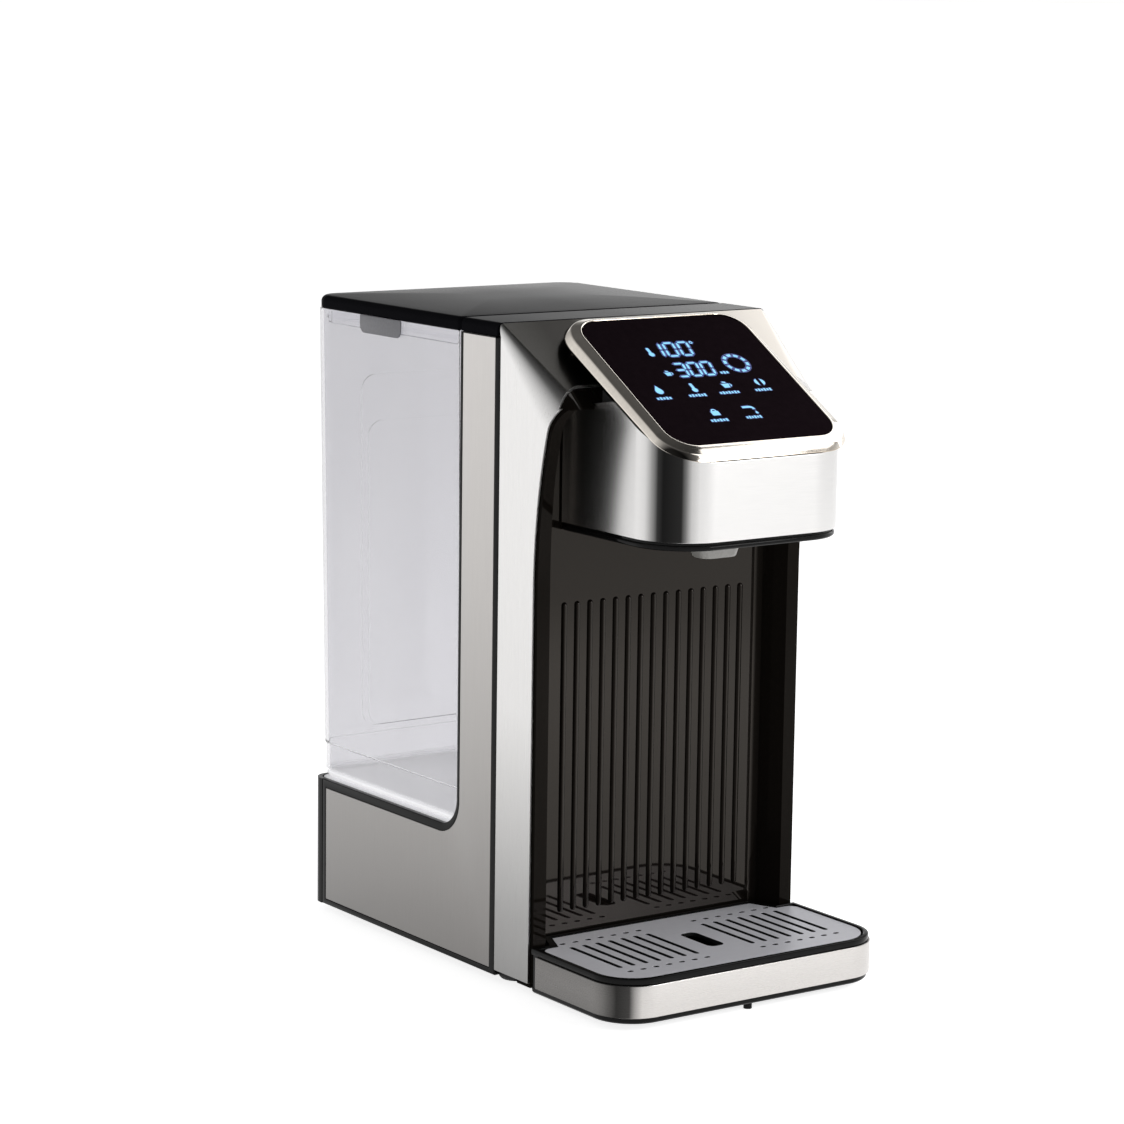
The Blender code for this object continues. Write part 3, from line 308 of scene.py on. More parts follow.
def plastic(name, colour, rough, grain=900.0, bump=0.03, **values):
    """Moulded plastic: slightly uneven gloss and a very fine surface."""
    mat = new_material(name, colour, 0.0, sum(rough) / 2, **values)
    fine = add_noise(mat, (grain, grain, grain), 3.0)
    broad = add_noise(mat, (30.0, 30.0, 30.0), 2.0)
    add_ramp(mat, broad, [(0.35, rough[0]), (0.65, rough[1])], "Roughness")
    add_ramp(mat, fine, [(0.3, tinted(colour, 0.90)), (0.7, tinted(colour, 1.10))], BASE)
    add_bump(mat, fine, bump, MOULD_DEPTH)
    return mat


# Painted shade and painted reflections: ramps by height, by the way a surface faces and from left to right,
# laid on colour and on gloss.
PAINTED_FRAME_SHADE = [(0.0, 0.30), (0.036, 0.40), (0.085, 0.62), (0.133, 0.84), (0.206, 0.92), (0.30, 0.98)]
PAINTED_PANEL_SHADE = [(0.0, 0.24), (0.05, 0.34), (0.10, 0.44), (0.20, 0.62), (0.30, 0.76)]
PAINTED_SLOPE_REFLECTION = [
    (0.05, (0.10, 0.097, 0.09)), (0.16, (0.05, 0.047, 0.043)), (0.27, (0.045, 0.042, 0.038)),
    (0.38, (0.22, 0.21, 0.19)), (0.60, (0.42, 0.40, 0.37)), (0.95, (0.66, 0.62, 0.57)),
]
PAINTED_SLOPE_SHARE = [(0.12, 0.0), (0.60, 0.12), (0.74, 0.45), (0.805, 1.0)]
PAINTED_HEAD_REFLECTION = [
    (0.0, 0.83), (0.36, 0.80), (0.48, 0.60), (0.56, 0.20), (0.62, 0.025), (0.83, 0.012),
    (0.88, 0.04), (0.93, 0.35), (0.97, 0.75), (1.0, 0.88),
]
PAINTED_TRAY_REFLECTION = [(0.0, 0.64), (0.36, 0.60), (0.50, 0.32), (0.60, 0.05), (0.80, 0.03), (0.90, 0.10), (1.0, 0.20)]
PAINTED_BEZEL_DARK_REFLECTION = [(0.0, 1.0), (0.80, 1.0), (0.86, 0.55), (0.905, 0.03), (1.0, 0.02)]
PAINTED_BEZEL_SKIRT_REFLECTION = [(0.0, 1.0), (0.82, 1.0), (0.93, (0.60, 0.545, 0.48)), (1.0, (0.58, 0.525, 0.46))]
PAINTED_GRATE_WALL_SHADE = [(0.0, 0.01), (0.6, 0.05), (0.9, 1.0)]
PAINTED_BAY_WALL_REFLECTION = [(0.0, 0.27), (0.25, 0.24), (0.45, 0.04)]
PAINTED_BAY_RIM_SHADE = [(0.0, 0.16), (0.085, 0.18), (0.115, 1.0), (0.87, 1.0), (0.905, 0.15)]
PAINTED_LID_REFLECTION = [(0.0, 0.003), (0.5, 0.010), (1.0, 0.05)]
PAINTED_CLEAR_EDGE_SHADE = [(0.0, 1.0), (0.62, 1.0), (0.86, 0.55), (0.97, 0.22)]

STEEL_TONE = (0.82, 0.81, 0.80)
WARM_TONE = (0.83, 0.80, 0.775)
UPRIGHT = (4200.0, 4200.0, 60.0)
UPRIGHT_FINE = (5200.0, 5200.0, 60.0)
ROUND = (60.0, 60.0, 5200.0)
CROSSWISE = (120.0, 4200.0, 4200.0)

STEEL_FRAME = brushed("Steel frame", STEEL_TONE, UPRIGHT, (0.27, 0.31), 0.008)
# painted shade: the frame's steel colour darkens towards the bottom
multiply(STEEL_FRAME, height_of(STEEL_FRAME), PAINTED_FRAME_SHADE)
# painted reflection: the sloping top goes dark near the left shoulder and lighter to the right
paint_slope_reflection(STEEL_FRAME)
STEEL_PANEL = brushed("Steel panel", WARM_TONE, UPRIGHT_FINE, (0.30, 0.36), 0.012)
# painted shade: the side panels' steel colour darkens towards the bottom
multiply(STEEL_PANEL, height_of(STEEL_PANEL), PAINTED_PANEL_SHADE)
STEEL_ROUND = brushed("Steel band", STEEL_TONE, ROUND, (0.24, 0.26), 0.003)
# painted reflection: the band's colour darkens to a dark stripe where it faces forward and to the left
multiply(STEEL_ROUND, facing_of(STEEL_ROUND, LEFT), PAINTED_HEAD_REFLECTION)
STEEL_TRAY = brushed("Steel tray band", WARM_TONE, ROUND, (0.26, 0.29), 0.004)
# painted reflection: the tray band's colour darkens on its front-left corner and stays dim on its left side
multiply(STEEL_TRAY, facing_of(STEEL_TRAY, LEFT), PAINTED_TRAY_REFLECTION)
STEEL_GRATE = brushed("Steel grate", (0.80, 0.80, 0.85), CROSSWISE, (0.36, 0.44), 0.03, 0.40)
# painted shade: the grate's colour goes nearly black on all but its upward faces, so slot walls and sides
# read dark
multiply(STEEL_GRATE, facing_of(STEEL_GRATE, UP), PAINTED_GRATE_WALL_SHADE)
STEEL_BRIGHT = brushed("Steel bright", (0.72, 0.71, 0.70), (2600.0, 2600.0, 300.0), (0.20, 0.36))
CHROME = brushed("Chrome warm", (0.90, 0.84, 0.76), (700.0, 700.0, 700.0), (0.09, 0.12), 0.002)
# painted reflection: the bezel goes nearly black where it faces straight out to the front left
multiply(CHROME, facing_of(CHROME, CORNER), PAINTED_BEZEL_DARK_REFLECTION)
# painted reflection: the bezel's forward and downward facets are tinted a dim beige
multiply(CHROME, facing_of(CHROME, FORWARD), PAINTED_BEZEL_SKIRT_REFLECTION)

BLACK = (0.003, 0.003, 0.003)
BLACK_GLOSS = plastic("Black gloss", BLACK, (0.06, 0.09), 500.0, 0.004, Specular_IOR_Level=0.10)
BLACK_BAY = plastic("Black bay", (0.004, 0.0032, 0.0026), (0.03, 0.04), 500.0, 0.003,
                    Specular_Tint=(1.0, 0.90, 0.80, 1.0))
# painted reflection: the bay's gloss is low on walls that face left and high elsewhere
add_ramp(BLACK_BAY, facing_of(BLACK_BAY, LEFT), PAINTED_BAY_WALL_REFLECTION, GLOSS)
# painted shade: the bay's gloss drops to about a sixth near its left and right sides
multiply(BLACK_BAY, across(BLACK_BAY), PAINTED_BAY_RIM_SHADE, GLOSS)
BLACK_LID = plastic("Black lid", (0.004, 0.004, 0.005), (0.24, 0.25), 900.0, 0.006)
# painted reflection: the lid's gloss rises from left to right
add_ramp(BLACK_LID, across(BLACK_LID), PAINTED_LID_REFLECTION, GLOSS)
BLACK_MATTE = plastic("Black matte", (0.008, 0.008, 0.008), (0.45, 0.55), 1600.0, 0.08,
                      Specular_IOR_Level=0.10)
GREY_TAB = plastic("Grey tab", (0.12, 0.12, 0.13), (0.35, 0.45))
GREY_NOZZLE = plastic("Grey nozzle", (0.20, 0.195, 0.185), (0.28, 0.36))
WHITE_PLASTIC = plastic("White plastic", (0.72, 0.72, 0.70), (0.35, 0.48), 1200.0, 0.06)
RUBBER = plastic("Rubber", (0.018, 0.018, 0.018), (0.65, 0.80), 2400.0, 0.30)
SHELF = plastic("Pale shelf", (0.90, 0.90, 0.92), (0.30, 0.40), 1200.0, 0.02)
SILICONE = plastic("Silicone", (0.74, 0.74, 0.70), (0.40, 0.52), 1400.0, 0.05)
GLASS_BLACK = plastic("Black glass", (0.008, 0.005, 0.0065), (0.03, 0.05), 300.0, 0.001,
                      Specular_IOR_Level=0.0)
CLEAR_FLOOR = 0.0718
CLEAR_FLOOR_END = 0.0728


def make_clear():
    """Clear plastic with a faint smoky violet tint; its floor is made nearly opaque and glows pale, painted
    light that stands in for the lit shelf under it.
    """
    mat = new_material("Clear tank", (0.90, 0.90, 0.93), 0.0, 0.02, Transmission_Weight=1.0, IOR=1.36,
                       Emission_Strength=1.0)
    broad = add_noise(mat, (14.0, 14.0, 6.0), 2.0)
    add_ramp(mat, broad, [(0.35, 0.015), (0.65, 0.045)], "Roughness")
    add_ramp(mat, broad, [(0.3, (0.71, 0.706, 0.728)), (0.7, (0.74, 0.736, 0.755))], BASE)
    # painted shade: the tank's colour darkens where its surface turns edge-on
    edge = mat.node_tree.nodes.new("ShaderNodeLayerWeight")
    multiply(mat, edge.outputs["Facing"], PAINTED_CLEAR_EDGE_SHADE)
    height = height_of(mat)
    # painted light: below the floor's top the tank lets less light through and glows pale
    add_ramp(mat, height, [(CLEAR_FLOOR, 0.15), (CLEAR_FLOOR_END, 1.0)], "Transmission Weight")
    add_ramp(mat, height, [(CLEAR_FLOOR, 0.36), (CLEAR_FLOOR_END, 0.0)], "Emission Color")
    return mat


def make_clear_silicone():
    """Clear soft plastic."""
    mat = new_material("Clear silicone", (0.97, 0.97, 0.98), 0.0, 0.05, Transmission_Weight=1.0, IOR=1.05)
    broad = add_noise(mat, (60.0, 60.0, 60.0), 2.0)
    add_ramp(mat, broad, [(0.3, 0.02), (0.7, 0.05)], "Roughness")
    return mat


def make_board():
    """Green circuit board with copper tracks."""
    mat = plastic("Circuit board", (0.015, 0.10, 0.045), (0.35, 0.45))
    tracks = add_noise(mat, (260.0, 260.0, 700.0), 0.0)
    dark = (0.012, 0.085, 0.035)
    add_ramp(mat, tracks, [(0.48, dark), (0.50, (0.05, 0.24, 0.09)), (0.53, dark)], BASE)
    return mat


def make_glow(name, colour, strength):
    """Light from the display, with a slight unevenness."""
    mat = new_material(name, (0.0, 0.0, 0.0), 0.0, 0.3, Emission_Strength=strength)
    patch = add_noise(mat, (300.0, 300.0, 300.0), 1.0)
    add_ramp(mat, patch, [(0.3, tinted(colour, 0.85)), (0.7, colour)], "Emission Color")
    return mat


CLEAR = make_clear()
CLEAR_SOFT = make_clear_silicone()
BOARD = make_board()
LIT = make_glow("Display light", (0.24, 0.68, 1.0), 1.15)
HALO = make_glow("Display halo", (0.004, 0.06, 0.50), 0.45)


# ---- Mesh helpers ----

SHARP_DEG = 40


def add_object(name, bm, mat=None):
    """An object with outward faces from a bmesh, which is freed."""
    bmesh.ops.recalc_face_normals(bm, faces=bm.faces)
    mesh = bpy.data.meshes.new(name)
    bm.to_mesh(mesh)
    bm.free()
    obj = bpy.data.objects.new(name, mesh)
    bpy.context.scene.collection.objects.link(obj)
    if mat:
        mesh.materials.append(mat)
    return obj


def add_loft(bm, rings, closed=False):
    """Skins rings of equal length, capped unless they close on themselves."""
    layers = [[bm.verts.new(p) for p in ring] for ring in rings]
    count = len(rings[0])
    pairs = list(zip(layers, layers[1:]))
    if closed:
        pairs.append((layers[-1], layers[0]))
    for low, high in pairs:
        for i in range(count):
            j = (i + 1) % count
            bm.faces.new((low[i], low[j], high[j], high[i]))
    if not closed:
        bm.faces.new(layers[0])
        bm.faces.new(layers[-1])


def loft(name, rings, mat=None, closed=False):
    """One closed body over rings."""
    bm = bmesh.new()
    add_loft(bm, rings, closed)
    return add_object(name, bm, mat)


def at_z(outline, z):
    """An XY outline as a ring at height z."""
    return [(x, y, z) for x, y in outline]


def at_x(outline, x):
    """A YZ outline as a ring at x."""
    return [(x, y, z) for y, z in outline]


def arc(cx, cy, r, start, end, steps):
    """Points on an arc, in degrees, both ends kept."""
    points = []
    for i in range(steps + 1):
        angle = math.radians(start + (end - start) * i / steps)
        points.append((cx + r * math.cos(angle), cy + r * math.sin(angle)))
    return points


def quarter(steps):
    """Angles of a quarter turn, both ends kept."""
    return [math.pi / 2 * i / steps for i in range(steps + 1)]


def round_front(half, front, r, steps):
    """The two rounded front corners of an outline, from left to right."""
    left = arc(-half + r, front + r, r, 180, 270, steps)
    return left + arc(half - r, front + r, r, 270, 360, steps)


def rounded(x0, x1, y0, y1, radii, steps):
    """Rounded rectangle, anticlockwise from front left, with one radius or four."""
    fl, fr, rr, rl = radii if isinstance(radii, tuple) else (radii,) * 4
    points = arc(x0 + fl, y0 + fl, fl, 180, 270, steps)
    points += arc(x1 - fr, y0 + fr, fr, 270, 360, steps)
    points += arc(x1 - rr, y1 - rr, rr, 0, 90, steps)
    points += arc(x0 + rl, y1 - rl, rl, 90, 180, steps)
    return points


def circle(cx, cy, r, steps=32):
    """A closed circle outline."""
    return arc(cx, cy, r, 0, 360, steps)[:-1]


def mirrored(right):
    """An open outline followed by its mirror image, from right to left."""
    return right + [(-x, y) for x, y in reversed(right)]


def offset(outline, d):
    """The outline moved outwards by d, with mitred corners."""
    count = len(outline)
    area = sum(a[0] * b[1] - b[0] * a[1] for a, b in zip(outline, outline[1:] + outline[:1]))
    side = 1.0 if area > 0 else -1.0
    result = []
    for i, (x, y) in enumerate(outline):
        before = Vector(outline[i]) - Vector(outline[i - 1])
        after = Vector(outline[(i + 1) % count]) - Vector(outline[i])
        n0 = Vector((before.y, -before.x)).normalized() * side
        n1 = Vector((after.y, -after.x)).normalized() * side
        middle = n0 + n1
        scale = 2.0 / max(middle.length_squared, 0.5)
        result.append((x + middle.x * d * scale, y + middle.y * d * scale))
    return result


def edge_steps(low, high, edge):
    """(height, inset) pairs that round both ends of a prism."""
    pairs = []
    for t in quarter(3):
        pairs.append((low + edge * (1 - math.sin(t)), edge * (1 - math.cos(t))))
    lower = sorted(pairs)
    upper = [(low + high - z, inset) for z, inset in reversed(lower)]
    return lower + upper


def soft_prism(name, outline, low, high, edge, mat, place=at_z):
    """An outline carried up, or across with at_x, with rounded rims."""
    rings = [place(offset(outline, -inset), z) for z, inset in edge_steps(low, high, edge)]
    return smooth(loft(name, rings, mat))


def prisms(outlines, low, high):
    """Several separate prisms in one helper object."""
    bm = bmesh.new()
    for outline in outlines:
        add_loft(bm, [at_z(outline, low), at_z(outline, high)])
    return add_object("helper", bm)


def smooth(obj, degrees=35):
    """Smooth shading with sharp edges kept."""
    for polygon in obj.data.polygons:
        polygon.use_smooth = True
    obj.data.set_sharp_from_angle(angle=math.radians(degrees))
    return obj


def combine(target, other, operation):
    """Exact Boolean, applied; the helper is removed."""
    bpy.context.view_layer.update()
    mod = target.modifiers.new("Combine", "BOOLEAN")
    mod.operation = operation
    mod.solver = "EXACT"
    mod.object = other
    graph = bpy.context.evaluated_depsgraph_get()
    mesh = bpy.data.meshes.new_from_object(target.evaluated_get(graph))
    target.modifiers.clear()
    materials = list(target.data.materials)
    target.data = mesh
    mesh.materials.clear()
    for mat in materials:
        mesh.materials.append(mat)
    for polygon in mesh.polygons:
        polygon.material_index = 0
    bpy.data.objects.remove(other, do_unlink=True)
    return target


def cut(target, other):
    """Takes other away."""
    return combine(target, other, "DIFFERENCE")


def join(target, other):
    """Adds other."""
    return combine(target, other, "UNION")


def keep(target, other):
    """Keeps the shared part."""
    return combine(target, other, "INTERSECT")


def dressed(obj, width):
    """Rounds the remaining sharp edges and evens out the shading."""
    smooth(obj, SHARP_DEG)
    bevel = obj.modifiers.new("Edges", "BEVEL")
    bevel.width = width
    bevel.segments = 2
    bevel.limit_method = "ANGLE"
    bevel.angle_limit = math.radians(SHARP_DEG)
    normals = obj.modifiers.new("Normals", "WEIGHTED_NORMAL")
    normals.keep_sharp = True
    return obj


def shell(name, rings, mat, body, slot, node, closed=False):
    """A smooth loft that stands for a CAD node."""
    stand_for(smooth(loft(name, rings, mat, closed), 30), body, slot, node)


def stand_for(obj, body, slot, *nodes):
    """The piece rides on a body and stands for CAD nodes; the slot is not used."""
    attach(obj, body)
    if nodes:
        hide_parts(*nodes)


class Box:
    """The box of a CAD node, from x0, y0, z0 to x1, y1, z1."""

    def __init__(self, node):
        (self.x0, self.y0, self.z0), (self.x1, self.y1, self.z1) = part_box(node)


# ---- Shared planes ----

FRAME = Box("front_frame")
HALF_W = FRAME.x1
COVER = Box("top_cover")
SLOPE_DEG = 35.5
FRAME_REAR = FRAME.y1 - 2.8 * MM
FRAME_T = 1.2 * MM
BEND_TOP = 3.0 * MM
BEND_ARCH = 13.5 * MM
BEND_LENGTH = 52.0 * MM
NOSE_Y = -75.2 * MM
SHANK_Y = -60.7 * MM
LEAN_Z = 0.188
LEAN_RISE = 0.086
LEAN = 12.5 * MM
LEAN_POWER = 2.15
TILT_DEG = 30.4
HEAD_TAPER = 0.03
BAY_BACK = Box("head_base").y1 + 0.9 * MM


def slope_z(y, lift=0.0):
    """Height of the sloping top at y, raised square to the slope by lift."""
    angle = math.radians(SLOPE_DEG)
    return FRAME.z1 + (y - FRAME.y1) * math.tan(angle) + lift / math.cos(angle)


def front_curve(shift):
    """Smooth front edge of the frame, leaning forward towards the top."""
    points = []
    steps = 36
    for i in range(steps + 1):
        z = FRAME.z0 + (FRAME.z1 - 35.2 * MM - FRAME.z0) * i / steps
        lean = LEAN * (max(0.0, z - LEAN_Z) / LEAN_RISE) ** LEAN_POWER
        points.append((SHANK_Y - lean + shift, z))
    return points


def slope_bar(inset):
    """A bar under the slope whose top edges round more and more towards the arch."""
    c = math.cos(math.radians(SLOPE_DEG))
    s = math.sin(math.radians(SLOPE_DEG))
    half = HALF_W - inset
    stations = [(-0.6, BEND_ARCH)]
    for i in range(9):
        t = i / 8
        stations.append((-BEND_LENGTH * (1 - t), BEND_ARCH + (BEND_TOP - BEND_ARCH) * t))
    stations.append((0.4, BEND_TOP))
    rings = []
    for place, radius in stations:
        r = radius - inset
        section = [(-half, -0.5), (half, -0.5)] + arc(half - r, -inset - r, r, 0, 90, 14)
        section += arc(-half + r, -inset - r, r, 90, 180, 14)
        y0 = FRAME.y1 + place * c
        z0 = FRAME.z1 + place * s
        rings.append([(x, y0 - n * s, z0 + n * c) for x, n in section])
    return loft("helper", rings)


SHOULDER_HALF = 42.5 * MM
SHOULDER_Z = 279.0 * MM
SHOULDER_FALL = 0.175
SHOULDER_END = -0.03


def shoulder_z(y):
    """Height of the head's side walls where they run under the arch."""
    return SHOULDER_Z - SHOULDER_FALL * (y + 90.0 * MM)


def above_shoulder(front, gap, low_x):
    """What stands above the head's shoulder behind a plane, beyond low_x on both sides."""
    top = ABOVE + 10 * MM
    profile = [(front, top), (front, shoulder_z(front) + gap)]
    profile += [(SHOULDER_END, shoulder_z(SHOULDER_END) + gap), (SHOULDER_END, top)]
    right = loft("helper", [at_x(profile, low_x), at_x(profile, BESIDE)])
    return join(right, loft("helper", [at_x(profile, -BESIDE), at_x(profile, -low_x)]))


def frame_block(name, inset, shift, rear, mat):
    """The solid inside the arch."""
    nose = NOSE_Y + shift
    top = FRAME.y1 if inset == 0 else rear
    outline = [(rear, FRAME.z0)] + front_curve(shift)
    outline += [(nose, slope_z(nose, -inset)), (top, slope_z(top, -inset))]
    if inset == 0:
        outline.append((rear, FRAME.z1 - 6.2 * MM))
    reach = HALF_W + 10 * MM
    block = loft(name, [at_x(outline, -reach), at_x(outline, reach)], mat)
    return keep(block, slope_bar(inset))


def box_helper(lo, hi):
    """A plain box used only to cut."""
    return prisms([[(lo[0], lo[1]), (hi[0], lo[1]), (hi[0], hi[1]), (lo[0], hi[1])]], lo[2], hi[2])


# ---- Steel arch and bay ----

NOTCH = Box("head_band").x1 + 0.6 * MM
BAY_TOP = 274.0 * MM
BAY_HALF = 68.8 * MM
RIB_COUNT = 15
RIB_PITCH = 7.3 * MM
RIB_R = 1.5 * MM
RIB_LOW = 34.8 * MM
RIB_HIGH = 181.5 * MM


def arch_edge(x):
    """y of the arch's top edge at x: straight in the middle, swept forward at the sides."""
    beyond = abs(x) - 58 * MM
    reach = 3 * MM
    sweep = math.hypot(max(beyond, 0.0), reach) - reach
    return -66.3 * MM - 0.57 * sweep


def front_frame():
    """Steel arch."""
    obj = frame_block("front_frame_steel", 0.0, 0.0, FRAME_REAR, STEEL_FRAME)
    cut(obj, slope_bar(FRAME_T))
    cut(obj, box_helper((-SHOULDER_HALF, -0.09, 0.24), (SHOULDER_HALF, BAY_BACK - 0.7 * MM, ABOVE)))
    xs = [i * 2 * MM for i in range(-38, 39)]
    bite = [(-0.0775, -0.095)] + [(x, arch_edge(x)) for x in xs] + [(0.0775, -0.095)]
    cut(obj, prisms([bite], BAY_TOP + 0.5 * MM, ABOVE))
    dressed(obj, 0.35 * MM)
    stand_for(obj, "body", "steel", "front_frame")


def bay_plan():
    """Plan of the bay's hollow: rim edge, slanting side, fillet, back wall."""
    side = [(BAY_HALF + 1.2 * MM, -66.5 * MM), (BAY_HALF + 0.25 * MM, -63.2 * MM)]
    side += [(BAY_HALF - 0.5 * MM, -61.8 * MM), (64.0 * MM, -54.0 * MM)]
    side += arc(59.4 * MM, BAY_BACK - 4.2 * MM, 4.2 * MM, 25, 90, 8)
    return mirrored([(BAY_HALF + 1.2 * MM, -0.095)] + side)


def bay_hollow():
    """What is taken out of the liner; its soffit curves into the sides."""
    plan = bay_plan()
    rings = [at_z(plan, -0.02)]
    r = 9.0 * MM
    for t in quarter(8):
        z = BAY_TOP - r + r * math.sin(t)
        shrink = 1 - (1 - math.cos(t)) * r / BAY_HALF
        rings.append(at_z([(x * shrink, y) for x, y in plan], z))
    return loft("helper", rings)


def ribs():
    """Upright half-round ribs with rounded ends."""
    bm = bmesh.new()
    for i in range(RIB_COUNT):
        x = (i - RIB_COUNT // 2) * RIB_PITCH
        add_loft(bm, [at_z(circle(x, BAY_BACK + 0.2 * MM, r, 20), z) for z, r in rib_levels()])
    return add_object("helper", bm)


def rib_levels():
    """(z, radius) up a rib."""
    tip = [(RIB_R * (1 - math.sin(t)), RIB_R * math.cos(t)) for t in (1.45, 1.0, 0.5, 0.0)]
    return [(RIB_LOW + h, r) for h, r in tip] + [(RIB_HIGH - h, r) for h, r in reversed(tip)]


def bay_liner():
    """Gloss black bay."""
    obj = frame_block("bay_liner_black", FRAME_T + GAP, -2.0 * MM, Box("bay_liner").y1, BLACK_BAY)
    cut(obj, bay_hollow())
    notch = box_helper((-NOTCH, -0.095, 0.21), (NOTCH, BAY_BACK, ABOVE))
    cut(obj, cut(notch, above_shoulder(-0.097, 0.6 * MM, SHOULDER_HALF)))
    for x in (-1, 1):
        low, high = sorted((x * 69.2 * MM, x * 75.0 * MM))
        join(obj, box_helper((low, -59.8 * MM, 4.6 * MM), (high, -49.0 * MM, 7.8 * MM)))
    join(obj, ribs())
    dressed(obj, 0.4 * MM)
    stand_for(obj, "body", "gloss_black", "bay_liner")


# ---- Side walls, covers ----

SHELF_TOP = Box("tank_shelf").z1


def carrier_outline():
    """L outline (y, z) of the black carrier."""
    box = Box("side_carrier_left")
    column = -GAP
    r = 14 * MM
    points = [(box.y0, box.z0), (box.y1, box.z0), (box.y1, SHELF_TOP)]
    points += arc(column + r, SHELF_TOP + r, r, 270, 180, 16)
    return points + [(column, box.z1), (box.y0, box.z1)]


def panel_outline(grow):
    """L outline (y, z) of the steel panel."""
    box = Box("side_panel_left")
    column = -2.7 * MM + grow
    shelf = SHELF_TOP - 4.2 * MM + grow
    top = box.z1 - 0.4 * MM + grow
    r = 17.4 * MM - grow
    points = [(box.y0 - grow, box.z0 - grow), (box.y1 + grow, box.z0 - grow), (box.y1 + grow, shelf)]
    points += arc(column + r, shelf + r, r, 270, 180, 16)
    return points + [(column, top), (box.y0 - grow, top)]


def side_walls():
    """Flush steel panels in black carriers."""
    wall = Box("side_carrier_right")
    edge = 0.6 * MM
    rim = carrier_outline()
    recess = panel_outline(0.25 * MM)
    sections = [(rim, wall.x0), (rim, wall.x1 - edge)]
    for t in (0.5, 1.0, 1.57):
        sections.append((offset(rim, -edge * (1 - math.cos(t))), wall.x1 - edge * (1 - math.sin(t))))
    sections.append((offset(recess, 0.15 * MM), wall.x1))
    sections += [(recess, wall.x1 - 0.15 * MM), (recess, wall.x1 - 1.1 * MM)]
    for where, sign in (("left", -1), ("right", 1)):
        rings = [at_x(outline, sign * x) for outline, x in sections]
        name = "side_carrier_black_" + where
        shell(name, rings, BLACK_GLOSS, "body", "gloss_black", "side_carrier_" + where)
        low, high = sorted((sign * (wall.x1 - 0.8 * MM), sign * wall.x1))
        name = "side_panel_steel_" + where
        panel = soft_prism(name, panel_outline(0.0), low, high, 0.25 * MM, STEEL_PANEL, at_x)
        stand_for(panel, "body", "steel", "side_panel_" + where)


def top_cover():
    """Black cover with a rounded top edge at its sides."""
    box = COVER
    r = 3.0 * MM
    chamfer = 0.2 * MM
    section = [(box.x0, box.z0 + chamfer), (box.x0 + chamfer, box.z0)]
    section += [(box.x1 - chamfer, box.z0), (box.x1, box.z0 + chamfer)]
    section += arc(box.x1 - r, box.z1 - r, r, 0, 90, 10)
    section += arc(box.x0 + r, box.z1 - r, r, 90, 180, 10)
    front, rear = 0.25 * MM, 0.4 * MM
    rings = []
    for y, inset in ((box.y0, front), (box.y0 + front, 0.0), (box.y1 - rear, 0.0), (box.y1, rear)):
        rings.append([(x, y, z) for x, z in offset(section, -inset)])
    shell("top_cover_black", rings, BLACK_LID, "body", "gloss_black", "top_cover")


def rear_cover():
    """Wrap-round rear cover with air slots and the hole for the gland."""
    box = Box("rear_cover")
    r = 8.0 * MM
    t = 2.4 * MM
    x0, x1, y0, y1 = box.x0, box.x1, box.y0, box.y1
    outer = [(x1, y0)] + arc(x1 - r, y1 - r, r, 0, 90, 14) + arc(x0 + r, y1 - r, r, 90, 180, 14)
    outer.append((x0, y0))
    inner = [(x0 + t, y0)] + arc(x0 + r, y1 - r, r - t, 180, 90, 14)
    inner += arc(x1 - r, y1 - r, r - t, 90, 0, 14) + [(x1 - t, y0)]
    rings = [at_z(outer + inner, z) for z in (box.z0, box.z1)]
    obj = loft("rear_cover_black", rings, BLACK_GLOSS)
    slots = []
    for i in range(9):
        x = -40 * MM + i * 7.5 * MM
        slots.append(rounded(x - 1.3 * MM, x + 1.3 * MM, y1 - 5 * MM, y1 + 3 * MM, 0.4 * MM, 1))
    cut(obj, prisms(slots, 30 * MM, 52 * MM))
    gland = Box("power_gland")
    ring = circle((gland.x0 + gland.x1) / 2, (gland.z0 + gland.z1) / 2, 6.3 * MM, 40)
    cut(obj, loft("helper", [[(x, y, z) for x, z in ring] for y in (y1 - 8 * MM, y1 + 4 * MM)]))
    dressed(obj, 0.5 * MM)
    stand_for(obj, "body", "body_plastic", "rear_cover")


# ---- Head ----

GLASS_HALF = Box("glass_panel").x1
GLASS_R = 12.2 * MM
GLASS_L = 93.3 * MM
GLASS_TOP_Y = -46.2 * MM
GLASS_TOP_Z = 309.5 * MM


def tilt(x, down, out):
    """Point on the glass plane: across, down from its top edge, out along its normal."""
    c = math.cos(math.radians(TILT_DEG))
    s = math.sin(math.radians(TILT_DEG))
    return (x, GLASS_TOP_Y - down * c - out * s, GLASS_TOP_Z - down * s + out * c)


def tilt_ring(outward, depth, front=0.0, taper=0.0):
    """The glass outline grown outwards, at a depth under the glass that may lessen forwards."""
    r = GLASS_R + outward
    half = GLASS_HALF + outward
    outline = rounded(-half, half, -outward, GLASS_L + outward + front, r, 16)
    return [tilt(x, down, taper * down - depth) for x, down in outline]


# Outward, depth, growth to the front (mm) and share of the head's taper, from the glass round.
BEZEL_STEPS = [
    (0.35, 0.3, 0.0, 0.0), (0.40, -0.02, 0.0, 0.0), (0.62, -0.24, 0.0, 0.0), (0.95, -0.28, 0.0, 0.0),
    (1.35, -0.14, 0.05, 0.0), (1.65, 0.08, 0.1, 0.02), (4.65, 1.82, 0.55, 0.36), (5.10, 2.15, 0.70, 0.42),
    (5.40, 2.65, 0.80, 0.48), (6.75, 5.45, 1.30, 0.92), (6.95, 5.95, 1.40, 0.98), (6.95, 6.20, 1.40, 1.0),
    (0.35, 6.20, 0.0, 1.0),
]


